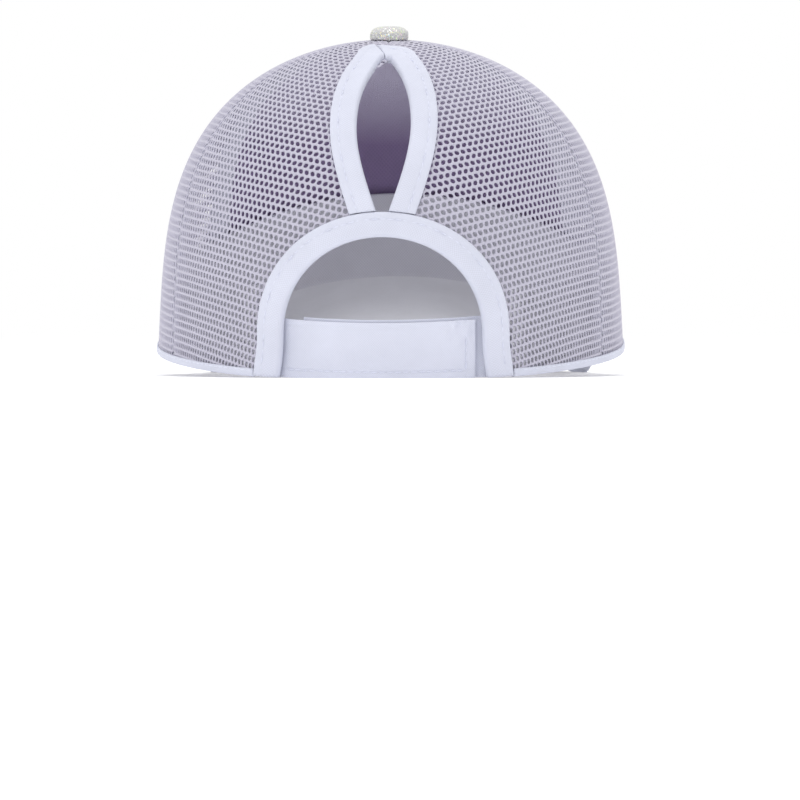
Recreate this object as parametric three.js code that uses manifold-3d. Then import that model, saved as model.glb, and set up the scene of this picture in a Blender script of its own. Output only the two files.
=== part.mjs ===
// A ponytail baseball cap, in millimetres: a cloth front panel with a centre dart, two side and two back
// panels of net, a bound ponytail slot over a bound arch, a two-part closing strap, a sweatband, seam
// tapes, a covered button and a curved visor with its own under cover.
//
// The cap is built with its rim about the plane z = 0, the visor towards -y and the wearer's left towards
// +x. At the end the whole cap is tipped back until it rests on its strap and the corners of its visor.
import * as THREE from 'three';
import { mergeVertices } from 'three/addons/utils/BufferGeometryUtils.js';
import Module from 'manifold-3d';

// Crown
const CROWN_WIDTH = 170;
const CROWN_FRONT = 100; // from the crown's middle to the front of the rim
const CROWN_BACK = 98;
const CROWN_HEIGHT = 112.7;
const CROWN_TAPER = 0.07; // the share by which the crown narrows towards the top
const APEX_SETBACK = 5; // how far the button stands behind the crown's middle
const FULLNESS_FRONT = 3.4; // 2 is a plain dome, and more is a squarer shoulder
const FULLNESS_SIDE = 3.5;
const FULLNESS_BACK = 3.2;
const FRONT_SEAM_ANGLE = 52.5; // degrees round the rim from the front
const FRONT_SEAM_LEAN = 10; // and how much further round the seam is at the top
const BACK_SEAM_ANGLE = 116;
const BACK_SEAM_LEAN = -5;
const APEX_HOLE_RADIUS = 3.4;
const RIM_LEVEL_ANGLE = 100; // from here to the back the rim lies in its plane

// Cloth thicknesses and clearances
const PANEL_WALL = 1.0;
const TAPE_WALL = 1.0;
const BINDING_WALL = 1.0;
const STRAP_WALL = 1.2;
const BAND_WALL = 1.2;
const CLEARANCE = 0.3;
const BINDING_CLEARANCE = 0.5; // between a binding's leaves and the net that they fold over

// Dart in the front panel, running down from the button
const DART_LENGTH = 62;
const DART_DEPTH = 0.5;

// Visor
const VISOR_HALF_ANGLE = 62; // degrees round the rim that the visor spans to each side
const VISOR_REACH = 57; // how far the visor stands out in front of the rim, level
const VISOR_HALF_WIDTH = 75.5;
const VISOR_SHOULDER = 60; // from the crown's middle to where the visor's sides start to round in
const VISOR_SQUARENESS = 2.8; // exponent of the outline: 2 is an ellipse
const VISOR_SLOPE = 24;
const VISOR_BEND_RADIUS = 91;
const VISOR_SEAM_RISE = 21.5; // how far the middle of the visor's seam stands above the rim's sides
const VISOR_WALL = 1.9;
const VISOR_UNDER_WALL = 1.0;

// Arch over the closing strap, measured on the back of the crown
const ARCH_RADIUS = 34.3;
const ARCH_CENTRE_HEIGHT = 14.5;
const ARCH_FOOT_FLARE = 1.5; // how much wider each foot is than the round part
const ARCH_BINDING_WIDTH = 8.5;

// Ponytail slot, as lengths along the back of the crown from the rim
const SLOT_BOTTOM_RISE = 8.6; // from the top of the arch to the bottom of the slot
const SLOT_LOWER_LENGTH = 34;
const SLOT_UPPER_LENGTH = 43;
const SLOT_HALF_WIDTH = 9.2;
const SLOT_TIP_RADIUS = 1.6;
const SLOT_BOTTOM_SHARE = 0.2; // the share of the width that the slot still has at its bottom
const SLOT_BINDING_WIDTH = 9.0;
const SLOT_BINDING_TOP = 13; // width of the binding over the slot's tip
const BINDING_FOLD = 1.0;
const PANEL_TUCK = 2.3; // from the edge of an opening to the net's own edge inside the binding

// Closing strap
const STRAP_HEIGHT = 19.5;
const INNER_STRAP_EXTRA = 1.0; // how much the inner strap shows above the outer one
const STRAP_LAP = 8.0; // sewn length behind the arch's binding
const STRAP_END_GAP = 1.2; // from the outer strap's free end to the arch's binding
const STRAP_JOG = 4.0; // length in which the inner strap steps in behind the outer one

// Inside
const BAND_HEIGHT = 31;
const TAPE_WIDTH = 12;
const TAPE_END_RADIUS = 14.5;

// Button
const BUTTON_RADIUS = 6.9;
const BUTTON_HEIGHT = 4.6;
const BUTTON_EDGE = 1.0; // height and setback of its rounded lower edge
const SHANK_RADIUS = 1.7;
const SHANK_LENGTH = 3.2;

// Cloth pressed flat where the cap stands
const REST_FLAT = 0.5;
const TABLE_REACH = 400; // length and width of the slab that stands for the table

// Steps of the faceted surfaces
const CROWN_ROWS = 18;
const FRONT_COLUMNS = 22;
const SIDE_COLUMNS = 8;
const BACK_COLUMNS = 8;
const ARCH_ROW_TURNS = [30, 48, 62, 74, 84, 90]; // degrees up the arch where the back net has extra rows
const LEAST_ROW_STEP = 0.4;
const VISOR_COLUMNS = 28;
const VISOR_ROWS = 7;
const BAND_COLUMNS = 64;
const STRAP_COLUMNS = 20;
const LOW_ROWS = 3; // up the strap and the sweatband
const BUTTON_SIDES = 24;
const DOME_STEPS = 6;
const ARC_STEPS = 120; // of the table that measures lengths over the crown

const rad = THREE.MathUtils.degToRad;
const halfWidth = CROWN_WIDTH / 2;
const halfGap = CLEARANCE / 2;
const tapeOuter = -PANEL_WALL - CLEARANCE;
const tapeInner = tapeOuter - TAPE_WALL;
const leafOuter = BINDING_CLEARANCE + BINDING_WALL;
const leafInner = -PANEL_WALL - BINDING_CLEARANCE - BINDING_WALL;
const linerOuter = Math.min(tapeInner, leafInner) - CLEARANCE;

const wasm = await Module();
wasm.setup();

function fullness(theta) {
  const front = Math.cos(theta);
  const toEnd = front > 0 ? FULLNESS_FRONT : FULLNESS_BACK;
  return FULLNESS_SIDE + (toEnd - FULLNESS_SIDE) * front * front;
}

// The crown's outer surface. theta runs round the rim from the front to the wearer's left, and lift from
// the rim (0) to the apex (a quarter turn).
function crownSurface(theta, lift) {
  const front = Math.cos(theta);
  const rise = Math.pow(Math.sin(lift), 2 / fullness(theta));
  const share = Math.cos(lift) * (1 - CROWN_TAPER * rise);
  const depth = front > 0 ? CROWN_FRONT : CROWN_BACK;
  return new THREE.Vector3(
    halfWidth * Math.sin(theta) * share,
    -depth * front * share + APEX_SETBACK * (1 - share),
    CROWN_HEIGHT * rise,
  );
}

function crownNormal(theta, lift) {
  const step = 1e-3;
  const across = crownSurface(theta + step, lift).sub(crownSurface(theta - step, lift));
  const up = crownSurface(theta, lift + step).sub(crownSurface(theta, Math.max(lift - step, 0)));
  return across.cross(up).normalize();
}

function crownPoint(theta, lift, offset) {
  return crownSurface(theta, lift).addScaledVector(crownNormal(theta, lift), offset);
}

// Lengths up the crown along one line from the rim to the apex.
function meridian(theta) {
  const lifts = [];
  const lengths = [];
  let length = 0;
  let last = crownSurface(theta, 0);
  for (let i = 0; i <= ARC_STEPS; i += 1) {
    const lift = (Math.PI / 2) * Math.pow(i / ARC_STEPS, 1.5);
    const here = crownSurface(theta, lift);
    length += here.distanceTo(last);
    lifts.push(lift);
    lengths.push(length);
    last = here;
  }
  return { lifts, lengths };
}

function lookUp(from, to, value) {
  let i = 1;
  while (i < from.length - 1 && from[i] < value) i += 1;
  const share = (value - from[i - 1]) / (from[i] - from[i - 1]);
  return to[i - 1] + (to[i] - to[i - 1]) * THREE.MathUtils.clamp(share, 0, 1);
}

const backLine = meridian(Math.PI);
const liftAtBack = (length) => lookUp(backLine.lengths, backLine.lifts, length);
const backLength = (lift) => lookUp(backLine.lifts, backLine.lengths, lift);
const apexLift = Math.acos(APEX_HOLE_RADIUS / halfWidth);

// A point on the back of the crown, x to the side of its middle and a length up from the rim.
function backTheta(x, lift) {
  const share = x / crownSurface(Math.PI / 2, lift).x;
  return Math.PI - Math.asin(THREE.MathUtils.clamp(share, -1, 1));
}

function backPoint(x, length, offset) {
  const lift = liftAtBack(length);
  return crownPoint(backTheta(x, lift), lift, offset);
}

// The visor's top surface: a sheet that slopes down to the front and is bent across.
function visorHeight(x, forward) {
  const drop = VISOR_BEND_RADIUS - Math.sqrt(VISOR_BEND_RADIUS ** 2 - x * x);
  return VISOR_SEAM_RISE - Math.tan(rad(VISOR_SLOPE)) * (forward - CROWN_FRONT) - drop;
}

// A point over or under that surface, by a distance square to it but straight up or down in place.
function visorPoint(x, forward, offset) {
  const across = x / Math.sqrt(VISOR_BEND_RADIUS ** 2 - x * x);
  const steepness = Math.hypot(1, across, Math.tan(rad(VISOR_SLOPE)));
  return new THREE.Vector3(x, -forward, visorHeight(x, forward) + offset * steepness);
}

const visorUnderside = -VISOR_WALL - CLEARANCE - VISOR_UNDER_WALL;

// Height of the crown's lower edge: halfway down the edge of the visor, which butts against the crown,
// and falling to the rim plane towards the back.
function rimHeight(theta) {
  const turn = Math.abs(theta);
  const end = rad(VISOR_HALF_ANGLE);
  const onVisor = Math.min(turn, end);
  const x = halfWidth * Math.sin(onVisor);
  const { z } = visorPoint(x, CROWN_FRONT * Math.cos(onVisor), -VISOR_WALL / 2);
  return z * (1 - THREE.MathUtils.smoothstep(turn, end, rad(RIM_LEVEL_ANGLE)));
}

function liftAtHeight(theta, height) {
  return Math.asin(Math.pow(Math.max(height, 0) / CROWN_HEIGHT, fullness(theta) / 2));
}

// The lift at a share of the way up one line, from one lift to another, in even steps of length.
function liftBetween(theta, low, high, share) {
  const line = meridian(theta);
  const from = lookUp(line.lifts, line.lengths, low);
  const to = lookUp(line.lifts, line.lengths, high);
  return lookUp(line.lengths, line.lifts, from + (to - from) * share);
}

// A closed wall between two faces that share one grid. place(i, j, face) gives each corner, with face 0
// on the outside, i running across and j up.
function wall(columns, rows, place) {
  const positions = [];
  const index = [];
  const at = (i, j, face) => (face * (rows + 1) + j) * (columns + 1) + i;
  const quad = (a, b, c, d) => index.push(a, b, c, a, c, d);
  for (const face of [0, 1]) {
    for (let j = 0; j <= rows; j += 1) {
      for (let i = 0; i <= columns; i += 1) positions.push(...place(i, j, face).toArray());
    }
  }
  for (let j = 0; j < rows; j += 1) {
    for (let i = 0; i < columns; i += 1) {
      quad(at(i, j, 0), at(i + 1, j, 0), at(i + 1, j + 1, 0), at(i, j + 1, 0));
      quad(at(i, j, 1), at(i, j + 1, 1), at(i + 1, j + 1, 1), at(i + 1, j, 1));
    }
    quad(at(0, j, 1), at(0, j, 0), at(0, j + 1, 0), at(0, j + 1, 1));
    quad(at(columns, j, 0), at(columns, j, 1), at(columns, j + 1, 1), at(columns, j + 1, 0));
  }
  for (let i = 0; i < columns; i += 1) {
    quad(at(i, 0, 1), at(i + 1, 0, 1), at(i + 1, 0, 0), at(i, 0, 0));
    quad(at(i, rows, 0), at(i + 1, rows, 0), at(i + 1, rows, 1), at(i, rows, 1));
  }
  return geometryFrom(positions, index);
}

// A closed bar from a ring of corners at each step: place(step, corner) gives each corner, and the ring
// turns anticlockwise as seen looking back along the bar.
function bar(steps, corners, capTriangles, place) {
  const positions = [];
  const index = [];
  for (let s = 0; s <= steps; s += 1) {
    for (let c = 0; c < corners; c += 1) positions.push(...place(s, c).toArray());
  }
  for (let s = 0; s < steps; s += 1) {
    for (let c = 0; c < corners; c += 1) {
      const next = (c + 1) % corners;
      const here = s * corners;
      const there = here + corners;
      index.push(here + c, here + next, there + next, here + c, there + next, there + c);
    }
  }
  const last = steps * corners;
  for (const [a, b, c] of capTriangles) index.push(a, c, b, last + a, last + b, last + c);
  return geometryFrom(positions, index);
}

function geometryFrom(positions, index) {
  const geometry = new THREE.BufferGeometry();
  geometry.setAttribute('position', new THREE.Float32BufferAttribute(positions, 3));
  geometry.setIndex(index);
  geometry.computeVertexNormals();
  return geometry;
}

// The turn round the crown at which a seam runs, which leans from its place on the rim.
function seamTurn(angle, lean, lift) {
  return rad(angle + lean * Math.pow(Math.sin(lift), 2 / FULLNESS_SIDE));
}

const frontSeam = (lift) => seamTurn(FRONT_SEAM_ANGLE, FRONT_SEAM_LEAN, lift);
const backSeam = (lift) => seamTurn(BACK_SEAM_ANGLE, BACK_SEAM_LEAN, lift);

// Front panel: the whole front between the two front seams, with a dart pressed in at the top.
function frontPanel() {
  const dartTop = meridian(0).lengths[ARC_STEPS];
  return wall(FRONT_COLUMNS, CROWN_ROWS, (i, j, face) => {
    const across = (2 * i) / FRONT_COLUMNS - 1;
    const atRim = across * frontSeam(0);
    const low = liftAtHeight(atRim, rimHeight(atRim));
    const lift = liftBetween(atRim, low, apexLift, j / CROWN_ROWS);
    const theta = across * (frontSeam(lift) - seamInset(frontSeam(lift), lift));
    const fromTop = dartTop - lookUp(meridian(theta).lifts, meridian(theta).lengths, lift);
    const onDart = i === FRONT_COLUMNS / 2 && fromTop < DART_LENGTH;
    const offset = (onDart ? -DART_DEPTH : 0) - face * PANEL_WALL;
    return crownPoint(theta, lift, offset);
  });
}

// The turn that leaves half a clearance between a panel's edge and its seam.
function seamInset(theta, lift) {
  const radius = crownSurface(theta, lift).setZ(0).sub(new THREE.Vector3(0, APEX_SETBACK, 0)).length();
  return halfGap / Math.max(radius, APEX_HOLE_RADIUS / 2);
}

function sideNet() {
  return wall(SIDE_COLUMNS, CROWN_ROWS, (i, j, face) => {
    const share = i / SIDE_COLUMNS;
    const atRim = frontSeam(0) + (backSeam(0) - frontSeam(0)) * share;
    const low = liftAtHeight(atRim, rimHeight(atRim));
    const lift = liftBetween(atRim, low, apexLift, j / CROWN_ROWS);
    let theta = frontSeam(lift) + (backSeam(lift) - frontSeam(lift)) * share;
    theta += (1 - 2 * share) * seamInset(theta, lift);
    return crownPoint(theta, lift, -face * PANEL_WALL);
  });
}

// Half the arch's width at a length up from the rim, to its own edge or to a line outside it.
const archTop = ARCH_CENTRE_HEIGHT + ARCH_RADIUS;

function archEdge(length, outside) {
  const radius = ARCH_RADIUS + outside;
  const above = length - ARCH_CENTRE_HEIGHT;
  if (above <= 0) {
    const foot = -above / ARCH_CENTRE_HEIGHT;
    return radius + ARCH_FOOT_FLARE * foot * foot;
  }
  return above < radius ? Math.sqrt(radius * radius - above * above) : 0;
}

// Half the slot's width at a length up from the rim. Past its two ends it runs on straight, below zero.
const slotBottom = archTop + SLOT_BOTTOM_RISE;
const slotMiddle = slotBottom + SLOT_LOWER_LENGTH;
const slotTop = slotMiddle + SLOT_UPPER_LENGTH;
const slotTopSlope = ((Math.PI / 2) * SLOT_HALF_WIDTH) / SLOT_UPPER_LENGTH;
const slotBottomSlope =
  ((Math.PI / 2) * (1 - SLOT_BOTTOM_SHARE) * SLOT_HALF_WIDTH) / SLOT_LOWER_LENGTH;

function slotHalf(length) {
  if (length > slotTop) return -(length - slotTop) * slotTopSlope;
  if (length > slotMiddle) {
    const share = (length - slotMiddle) / SLOT_UPPER_LENGTH;
    return SLOT_HALF_WIDTH * Math.cos((share * Math.PI) / 2);
  }
  const bottom = SLOT_BOTTOM_SHARE * SLOT_HALF_WIDTH;
  if (length < slotBottom) return bottom - (slotBottom - length) * slotBottomSlope;
  const share = (length - slotBottom) / SLOT_LOWER_LENGTH;
  return bottom + (SLOT_HALF_WIDTH - bottom) * Math.sin((share * Math.PI) / 2);
}

function slotSlope(length) {
  const step = 0.05;
  return (slotHalf(length + step) - slotHalf(length - step)) / (2 * step);
}

// The back net's inner edge: under the arch's binding, then under the slot's, then the centre seam.
function netEdge(length) {
  const slot = slotHalf(length) + PANEL_TUCK * Math.hypot(1, slotSlope(length));
  return Math.max(archEdge(length, PANEL_TUCK), slot, halfGap);
}

// Rows of the back net: those of the side net, and more where the arch turns over.
function backRows() {
  const rows = [];
  for (let j = 0; j <= CROWN_ROWS; j += 1) {
    rows.push(liftBetween(backSeam(0), 0, apexLift, j / CROWN_ROWS));
  }
  const tuckedRadius = ARCH_RADIUS + PANEL_TUCK;
  for (const turn of ARCH_ROW_TURNS) {
    rows.push(liftAtBack(ARCH_CENTRE_HEIGHT + tuckedRadius * Math.sin(rad(turn))));
  }
  rows.sort((a, b) => a - b);
  const stepBelow = (k) => backLength(rows[k]) - backLength(rows[k - 1]);
  return rows.filter((lift, k) => k === 0 || stepBelow(k) > LEAST_ROW_STEP);
}

function backNet() {
  const rows = backRows();
  return wall(BACK_COLUMNS, rows.length - 1, (i, j, face) => {
    const lift = rows[j];
    const seam = backSeam(lift) + seamInset(backSeam(lift), lift);
    const edge = backTheta(netEdge(backLength(lift)), lift);
    const theta = seam + (edge - seam) * (i / BACK_COLUMNS);
    return crownPoint(theta, lift, -face * PANEL_WALL);
  });
}

// A binding's folded section, as shares across from the opening's edge and offsets from the crown.
function bindingSection(width) {
  const fold = BINDING_FOLD / width;
  return [
    [0, leafOuter],
    [0, leafInner],
    [1, leafInner],
    [1, leafInner + BINDING_WALL],
    [fold, leafInner + BINDING_WALL],
    [fold, leafOuter - BINDING_WALL],
    [1, leafOuter - BINDING_WALL],
    [1, leafOuter],
  ];
}

const BINDING_CAP = [
  [0, 1, 4],
  [0, 4, 5],
  [1, 2, 3],
  [1, 3, 4],
  [0, 5, 6],
  [0, 6, 7],
];

// Binding over the arch, from the wearer's left foot over the top to the right foot.
function archBinding() {
  const footSteps = 4;
  const roundSteps = 32;
  const steps = 2 * footSteps + roundSteps;
  const section = bindingSection(ARCH_BINDING_WIDTH);
  const path = [];
  for (let s = 0; s <= steps; s += 1) {
    const side = s <= footSteps ? 1 : -1;
    const inFoot = s < footSteps || s > steps - footSteps;
    if (inFoot) {
      const share = s < footSteps ? s / footSteps : (steps - s) / footSteps;
      const length = ARCH_CENTRE_HEIGHT * share;
      const tilt = (2 * ARCH_FOOT_FLARE * (1 - share)) / ARCH_CENTRE_HEIGHT;
      path.push({ x: side * archEdge(length, 0), length, side, tilt });
    } else {
      const turn = (Math.PI * (s - footSteps)) / roundSteps;
      path.push({ turn });
    }
  }
  return bar(steps, section.length, BINDING_CAP, (s, c) => {
    const [share, offset] = section[c];
    const across = share * ARCH_BINDING_WIDTH;
    const p = path[s];
    if (p.turn === undefined) {
      const lean = s === 0 || s === steps ? 0 : p.tilt;
      return backPoint(p.x + p.side * across, p.length + lean * across, offset);
    }
    const radius = ARCH_RADIUS + across;
    const length = ARCH_CENTRE_HEIGHT + radius * Math.sin(p.turn);
    return backPoint(radius * Math.cos(p.turn), length, offset);
  });
}

// Binding of the wearer's left half of the slot, from the arch's binding up and over the slot's tip.
function slotBinding() {
  const edgeSteps = 24;
  const tipSteps = 6;
  const section = bindingSection(SLOT_BINDING_WIDTH);
  const tipLean = Math.atan(slotTopSlope);
  const tipEdge = slotTop - (SLOT_TIP_RADIUS * Math.cos(tipLean)) / slotTopSlope;
  const tipCentre = tipEdge - SLOT_TIP_RADIUS * Math.sin(tipLean);
  return bar(edgeSteps + tipSteps, section.length, BINDING_CAP, (s, c) => {
    const [share, offset] = section[c];
    const over = Math.max(s - edgeSteps, 0) / tipSteps;
    const width = SLOT_BINDING_WIDTH + (SLOT_BINDING_TOP - SLOT_BINDING_WIDTH) * over;
    if (s > edgeSteps) {
      const turn = tipLean + (Math.PI / 2 - tipLean) * over;
      const radius = SLOT_TIP_RADIUS + share * width;
      return backPoint(halfGap + radius * Math.cos(turn), tipCentre + radius * Math.sin(turn), offset);
    }
    const length = slotBottom + (tipEdge - slotBottom) * (s / edgeSteps);
    const lean = Math.atan(-slotSlope(length));
    const x = halfGap + slotHalf(length) + share * width * Math.cos(lean);
    const along = length + share * width * Math.sin(lean);
    return backPoint(x, Math.max(along, archOuterLength(x) + CLEARANCE), offset);
  });
}

// Length up from the rim to the outside of the arch's binding, x to the side of the middle.
function archOuterLength(x) {
  const radius = ARCH_RADIUS + ARCH_BINDING_WIDTH;
  return ARCH_CENTRE_HEIGHT + Math.sqrt(Math.max(radius * radius - x * x, 0));
}

// A band along the back of the rim through places to the side, from the wearer's left to the right.
function strapBand(places, height, offsetAt) {
  return wall(places.length - 1, LOW_ROWS, (i, j, face) => {
    return backPoint(places[i], (height * j) / LOW_ROWS, offsetAt(places[i]) - face * STRAP_WALL);
  });
}

function evenPlaces(from, to, steps) {
  const places = [];
  for (let i = 0; i <= steps; i += 1) places.push(from + ((to - from) * i) / steps);
  return places;
}

const strapEnd = archEdge(0, 0) + STRAP_LAP;
const strapFree = archEdge(STRAP_HEIGHT, 0) - STRAP_END_GAP;

// The outer strap is sewn behind the left foot of the arch and ends free just before the right one.
function outerStrap() {
  return strapBand(evenPlaces(strapEnd, -strapFree, STRAP_COLUMNS), STRAP_HEIGHT, () => linerOuter);
}

// The inner strap is sewn behind the right foot and steps in behind the outer strap's free end.
function innerStrap() {
  const stepIn = -strapFree - CLEARANCE;
  const behind = linerOuter - STRAP_WALL - CLEARANCE;
  const places = evenPlaces(strapFree - STRAP_JOG, stepIn, STRAP_COLUMNS - 4);
  places.push(stepIn - STRAP_JOG, -strapEnd);
  return strapBand(places, STRAP_HEIGHT + INNER_STRAP_EXTRA, (x) => (x < stepIn ? linerOuter : behind));
}

// Sweatband, round the inside of the rim from one side of the arch to the other.
function sweatband() {
  const endX = archEdge(0, ARCH_BINDING_WIDTH) + CLEARANCE;
  const endTheta = backTheta(endX, 0);
  return wall(BAND_COLUMNS, LOW_ROWS, (i, j, face) => {
    const theta = endTheta * ((2 * i) / BAND_COLUMNS - 1);
    const height = rimHeight(theta) + (BAND_HEIGHT * j) / LOW_ROWS;
    return crownPoint(theta, liftAtHeight(theta, height), linerOuter - face * BAND_WALL);
  });
}

// Tape behind a seam of the crown, from the rim to the button.
function seamTape(seam) {
  const top = Math.acos(TAPE_END_RADIUS / halfWidth);
  const low = liftAtHeight(seam(0), rimHeight(seam(0)));
  return wall(2, CROWN_ROWS, (i, j, face) => {
    const lift = liftBetween(seam(0), low, top, j / CROWN_ROWS);
    const step = 1e-3;
    const pace = crownSurface(seam(lift) + step, lift).distanceTo(crownSurface(seam(lift), lift)) / step;
    const theta = seam(lift) + ((i - 1) * TAPE_WIDTH) / 2 / pace;
    return crownPoint(theta, lift, tapeOuter - face * TAPE_WALL);
  });
}

// The visor's plan: one corner of its grid, across from the wearer's right to left and out from the seam.
function visorPlan(across, out) {
  const theta = across * rad(VISOR_HALF_ANGLE);
  const inX = (halfWidth + CLEARANCE) * Math.sin(theta);
  const inForward = (CROWN_FRONT + CLEARANCE) * Math.cos(theta);
  const turn = (Math.PI / 2) * (1 - Math.abs(across));
  const power = 2 / VISOR_SQUARENESS;
  const outX = Math.sign(across) * VISOR_HALF_WIDTH * Math.pow(Math.cos(turn), power);
  const depth = CROWN_FRONT + VISOR_REACH - VISOR_SHOULDER;
  const outForward = VISOR_SHOULDER + depth * Math.pow(Math.sin(turn), power);
  return { x: inX + (outX - inX) * out, forward: inForward + (outForward - inForward) * out };
}

function visorSheet(outer, thickness) {
  return wall(VISOR_COLUMNS, VISOR_ROWS, (i, j, face) => {
    const { x, forward } = visorPlan((2 * i) / VISOR_COLUMNS - 1, 1 - j / VISOR_ROWS);
    return visorPoint(x, forward, outer - face * thickness);
  });
}

// Button: a low covered dome on a shank that passes the hole where the panels meet.
function button() {
  const edge = CLEARANCE + BUTTON_EDGE;
  const profile = [
    new THREE.Vector2(0, -SHANK_LENGTH),
    new THREE.Vector2(SHANK_RADIUS, -SHANK_LENGTH),
    new THREE.Vector2(SHANK_RADIUS, CLEARANCE),
    new THREE.Vector2(BUTTON_RADIUS - BUTTON_EDGE, CLEARANCE),
    new THREE.Vector2(BUTTON_RADIUS, edge),
  ];
  for (let k = 1; k < DOME_STEPS; k += 1) {
    const turn = (Math.PI / 2) * (k / DOME_STEPS);
    const dome = (BUTTON_HEIGHT - BUTTON_EDGE) * Math.sin(turn);
    profile.push(new THREE.Vector2(BUTTON_RADIUS * Math.pow(Math.cos(turn), 0.8), edge + dome));
  }
  profile.push(new THREE.Vector2(0, CLEARANCE + BUTTON_HEIGHT));
  const geometry = new THREE.LatheGeometry(profile, BUTTON_SIDES);
  geometry.rotateX(Math.PI / 2);
  geometry.translate(0, APEX_SETBACK, CROWN_HEIGHT);
  return geometry;
}

// How the cap stands: the angle it tips back by, and its height, when the back of the strap and the
// visor's corners are on the table.
function restPlacement() {
  const heel = new THREE.Vector2(CROWN_BACK + linerOuter, 0);
  let tip = 0;
  for (let k = 0; k <= 60; k += 1) {
    const { x, forward } = visorPlan(k / 60, 1);
    const p = visorPoint(x, forward, visorUnderside);
    tip = Math.max(tip, Math.atan2(heel.y - p.z, heel.x - p.y));
  }
  const drop = heel.x * Math.sin(-tip) + heel.y * Math.cos(-tip);
  return { tip, height: -drop - REST_FLAT };
}

function solidOf(geometry) {
  const bare = geometry.clone();
  bare.deleteAttribute('normal');
  bare.deleteAttribute('uv');
  const merged = mergeVertices(bare, 1e-4);
  const vertProperties = new Float32Array(merged.attributes.position.array);
  const triVerts = new Uint32Array(merged.index.array);
  return new wasm.Manifold(new wasm.Mesh({ numProp: 3, vertProperties, triVerts }));
}

function geometryOf(solid) {
  const mesh = solid.getMesh();
  return geometryFrom(Array.from(mesh.vertProperties), Array.from(mesh.triVerts));
}

// Presses a piece flat where it would reach below the table, which the cap's own frame sees tipped.
function pressedFlat(geometry, place) {
  const slab = new THREE.BoxGeometry(TABLE_REACH, TABLE_REACH, TABLE_REACH);
  slab.translate(0, 0, -TABLE_REACH / 2);
  slab.applyMatrix4(place.clone().invert());
  return geometryOf(solidOf(geometry).subtract(solidOf(slab)));
}

const glitterCloth = new THREE.MeshStandardMaterial({ color: 0xd2d2cd, roughness: 0.55, metalness: 0.1 });
const whiteNet = new THREE.MeshStandardMaterial({ color: 0xd6d6e2, roughness: 0.8, metalness: 0 });
const whiteTape = new THREE.MeshStandardMaterial({ color: 0xdcdef0, roughness: 0.85, metalness: 0 });
const whiteLining = new THREE.MeshStandardMaterial({ color: 0xdddde6, roughness: 0.9, metalness: 0 });

const cap = new THREE.Group();
const { tip, height } = restPlacement();
cap.rotation.x = -tip;
cap.position.z = height;
cap.updateMatrixWorld(true);

function add(name, geometry, material, mirrored = false) {
  const mesh = new THREE.Mesh(geometry, material);
  mesh.name = name;
  if (mirrored) mesh.scale.x = -1;
  cap.add(mesh);
}

function addPair(name, geometry, material) {
  add(`${name}_left`, geometry, material);
  add(`${name}_right`, geometry, material, true);
}

const pressed = (geometry) => pressedFlat(geometry, cap.matrixWorld);

add('front_panel', frontPanel(), glitterCloth);
addPair('side_net', sideNet(), whiteNet);
addPair('back_net', pressed(backNet()), whiteNet);
addPair('front_seam_tape', seamTape(frontSeam), whiteLining);
addPair('back_seam_tape', seamTape(backSeam), whiteLining);
add('arch_binding', pressed(archBinding()), whiteTape);
addPair('slot_binding', slotBinding(), whiteTape);
add('strap_outer', pressed(outerStrap()), whiteTape);
add('strap_inner', pressed(innerStrap()), whiteTape);
add('sweatband', pressed(sweatband()), whiteLining);
add('visor_top', pressed(visorSheet(0, VISOR_WALL)), glitterCloth);
add('visor_under', pressed(visorSheet(-VISOR_WALL - CLEARANCE, VISOR_UNDER_WALL)), whiteLining);
add('button', button(), glitterCloth);

// The origin is under the middle of the standing cap.
const box = new THREE.Box3().setFromObject(cap, true);
cap.position.y = -(box.min.y + box.max.y) / 2;

const part = new THREE.Group();
part.add(cap);

export default part;
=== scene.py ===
"""Dresses the solids of a ponytail baseball cap in glitter cloth, open net, folded tape and stitching.

Every length here is in millimetres in the cap's own frame: the rim lies about z = 0, the visor points
towards -y and the wearer's left is +x. The last step of each piece stands it as the solids stand, in
metres. A turn runs round the crown from the front to the wearer's left, and a lift from the rim to the
button, both in radians.
"""

import math

import bpy
import numpy as np
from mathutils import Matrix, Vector


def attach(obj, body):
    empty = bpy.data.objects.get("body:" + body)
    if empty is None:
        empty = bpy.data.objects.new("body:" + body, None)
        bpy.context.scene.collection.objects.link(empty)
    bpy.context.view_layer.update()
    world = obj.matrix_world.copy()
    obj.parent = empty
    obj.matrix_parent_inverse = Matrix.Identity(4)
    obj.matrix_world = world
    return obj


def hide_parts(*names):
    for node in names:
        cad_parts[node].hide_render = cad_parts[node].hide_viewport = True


bl_info = {
    "name": "Ponytail baseball cap",
    "version": (1, 0, 0),
    "blender": (4, 5, 0),
    "location": "3D View > Sidebar > Cap",
    "description": "Cloth, net, tape and stitching of a ponytail baseball cap",
    "category": "Object",
}

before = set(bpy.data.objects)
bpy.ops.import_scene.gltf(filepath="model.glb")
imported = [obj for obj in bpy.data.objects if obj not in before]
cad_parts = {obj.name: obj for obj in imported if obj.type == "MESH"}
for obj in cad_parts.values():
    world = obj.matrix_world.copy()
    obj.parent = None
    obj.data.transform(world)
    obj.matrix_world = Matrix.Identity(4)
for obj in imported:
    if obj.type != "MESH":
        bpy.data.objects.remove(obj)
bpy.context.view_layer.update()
MM = 0.001

# The crown, as in the solids
HALF_WIDTH = 85.0
CROWN_FRONT = 100.0
CROWN_BACK = 98.0
CROWN_HEIGHT = 112.7
CROWN_TAPER = 0.07
APEX_SETBACK = 5.0
FULLNESS_FRONT, FULLNESS_SIDE, FULLNESS_BACK = 3.4, 3.5, 3.2
FRONT_SEAM, FRONT_SEAM_LEAN = 52.5, 10.0
BACK_SEAM, BACK_SEAM_LEAN = 116.0, -5.0
APEX_HOLE = 3.4
RIM_LEVEL = 100.0
PANEL_WALL = 1.0
YARN = 0.66
NET_DEPTH = 0.42
SEAM_GAP = 0.3
LINER_OUTER = -2.8
DART_LENGTH = 62.0

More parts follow.
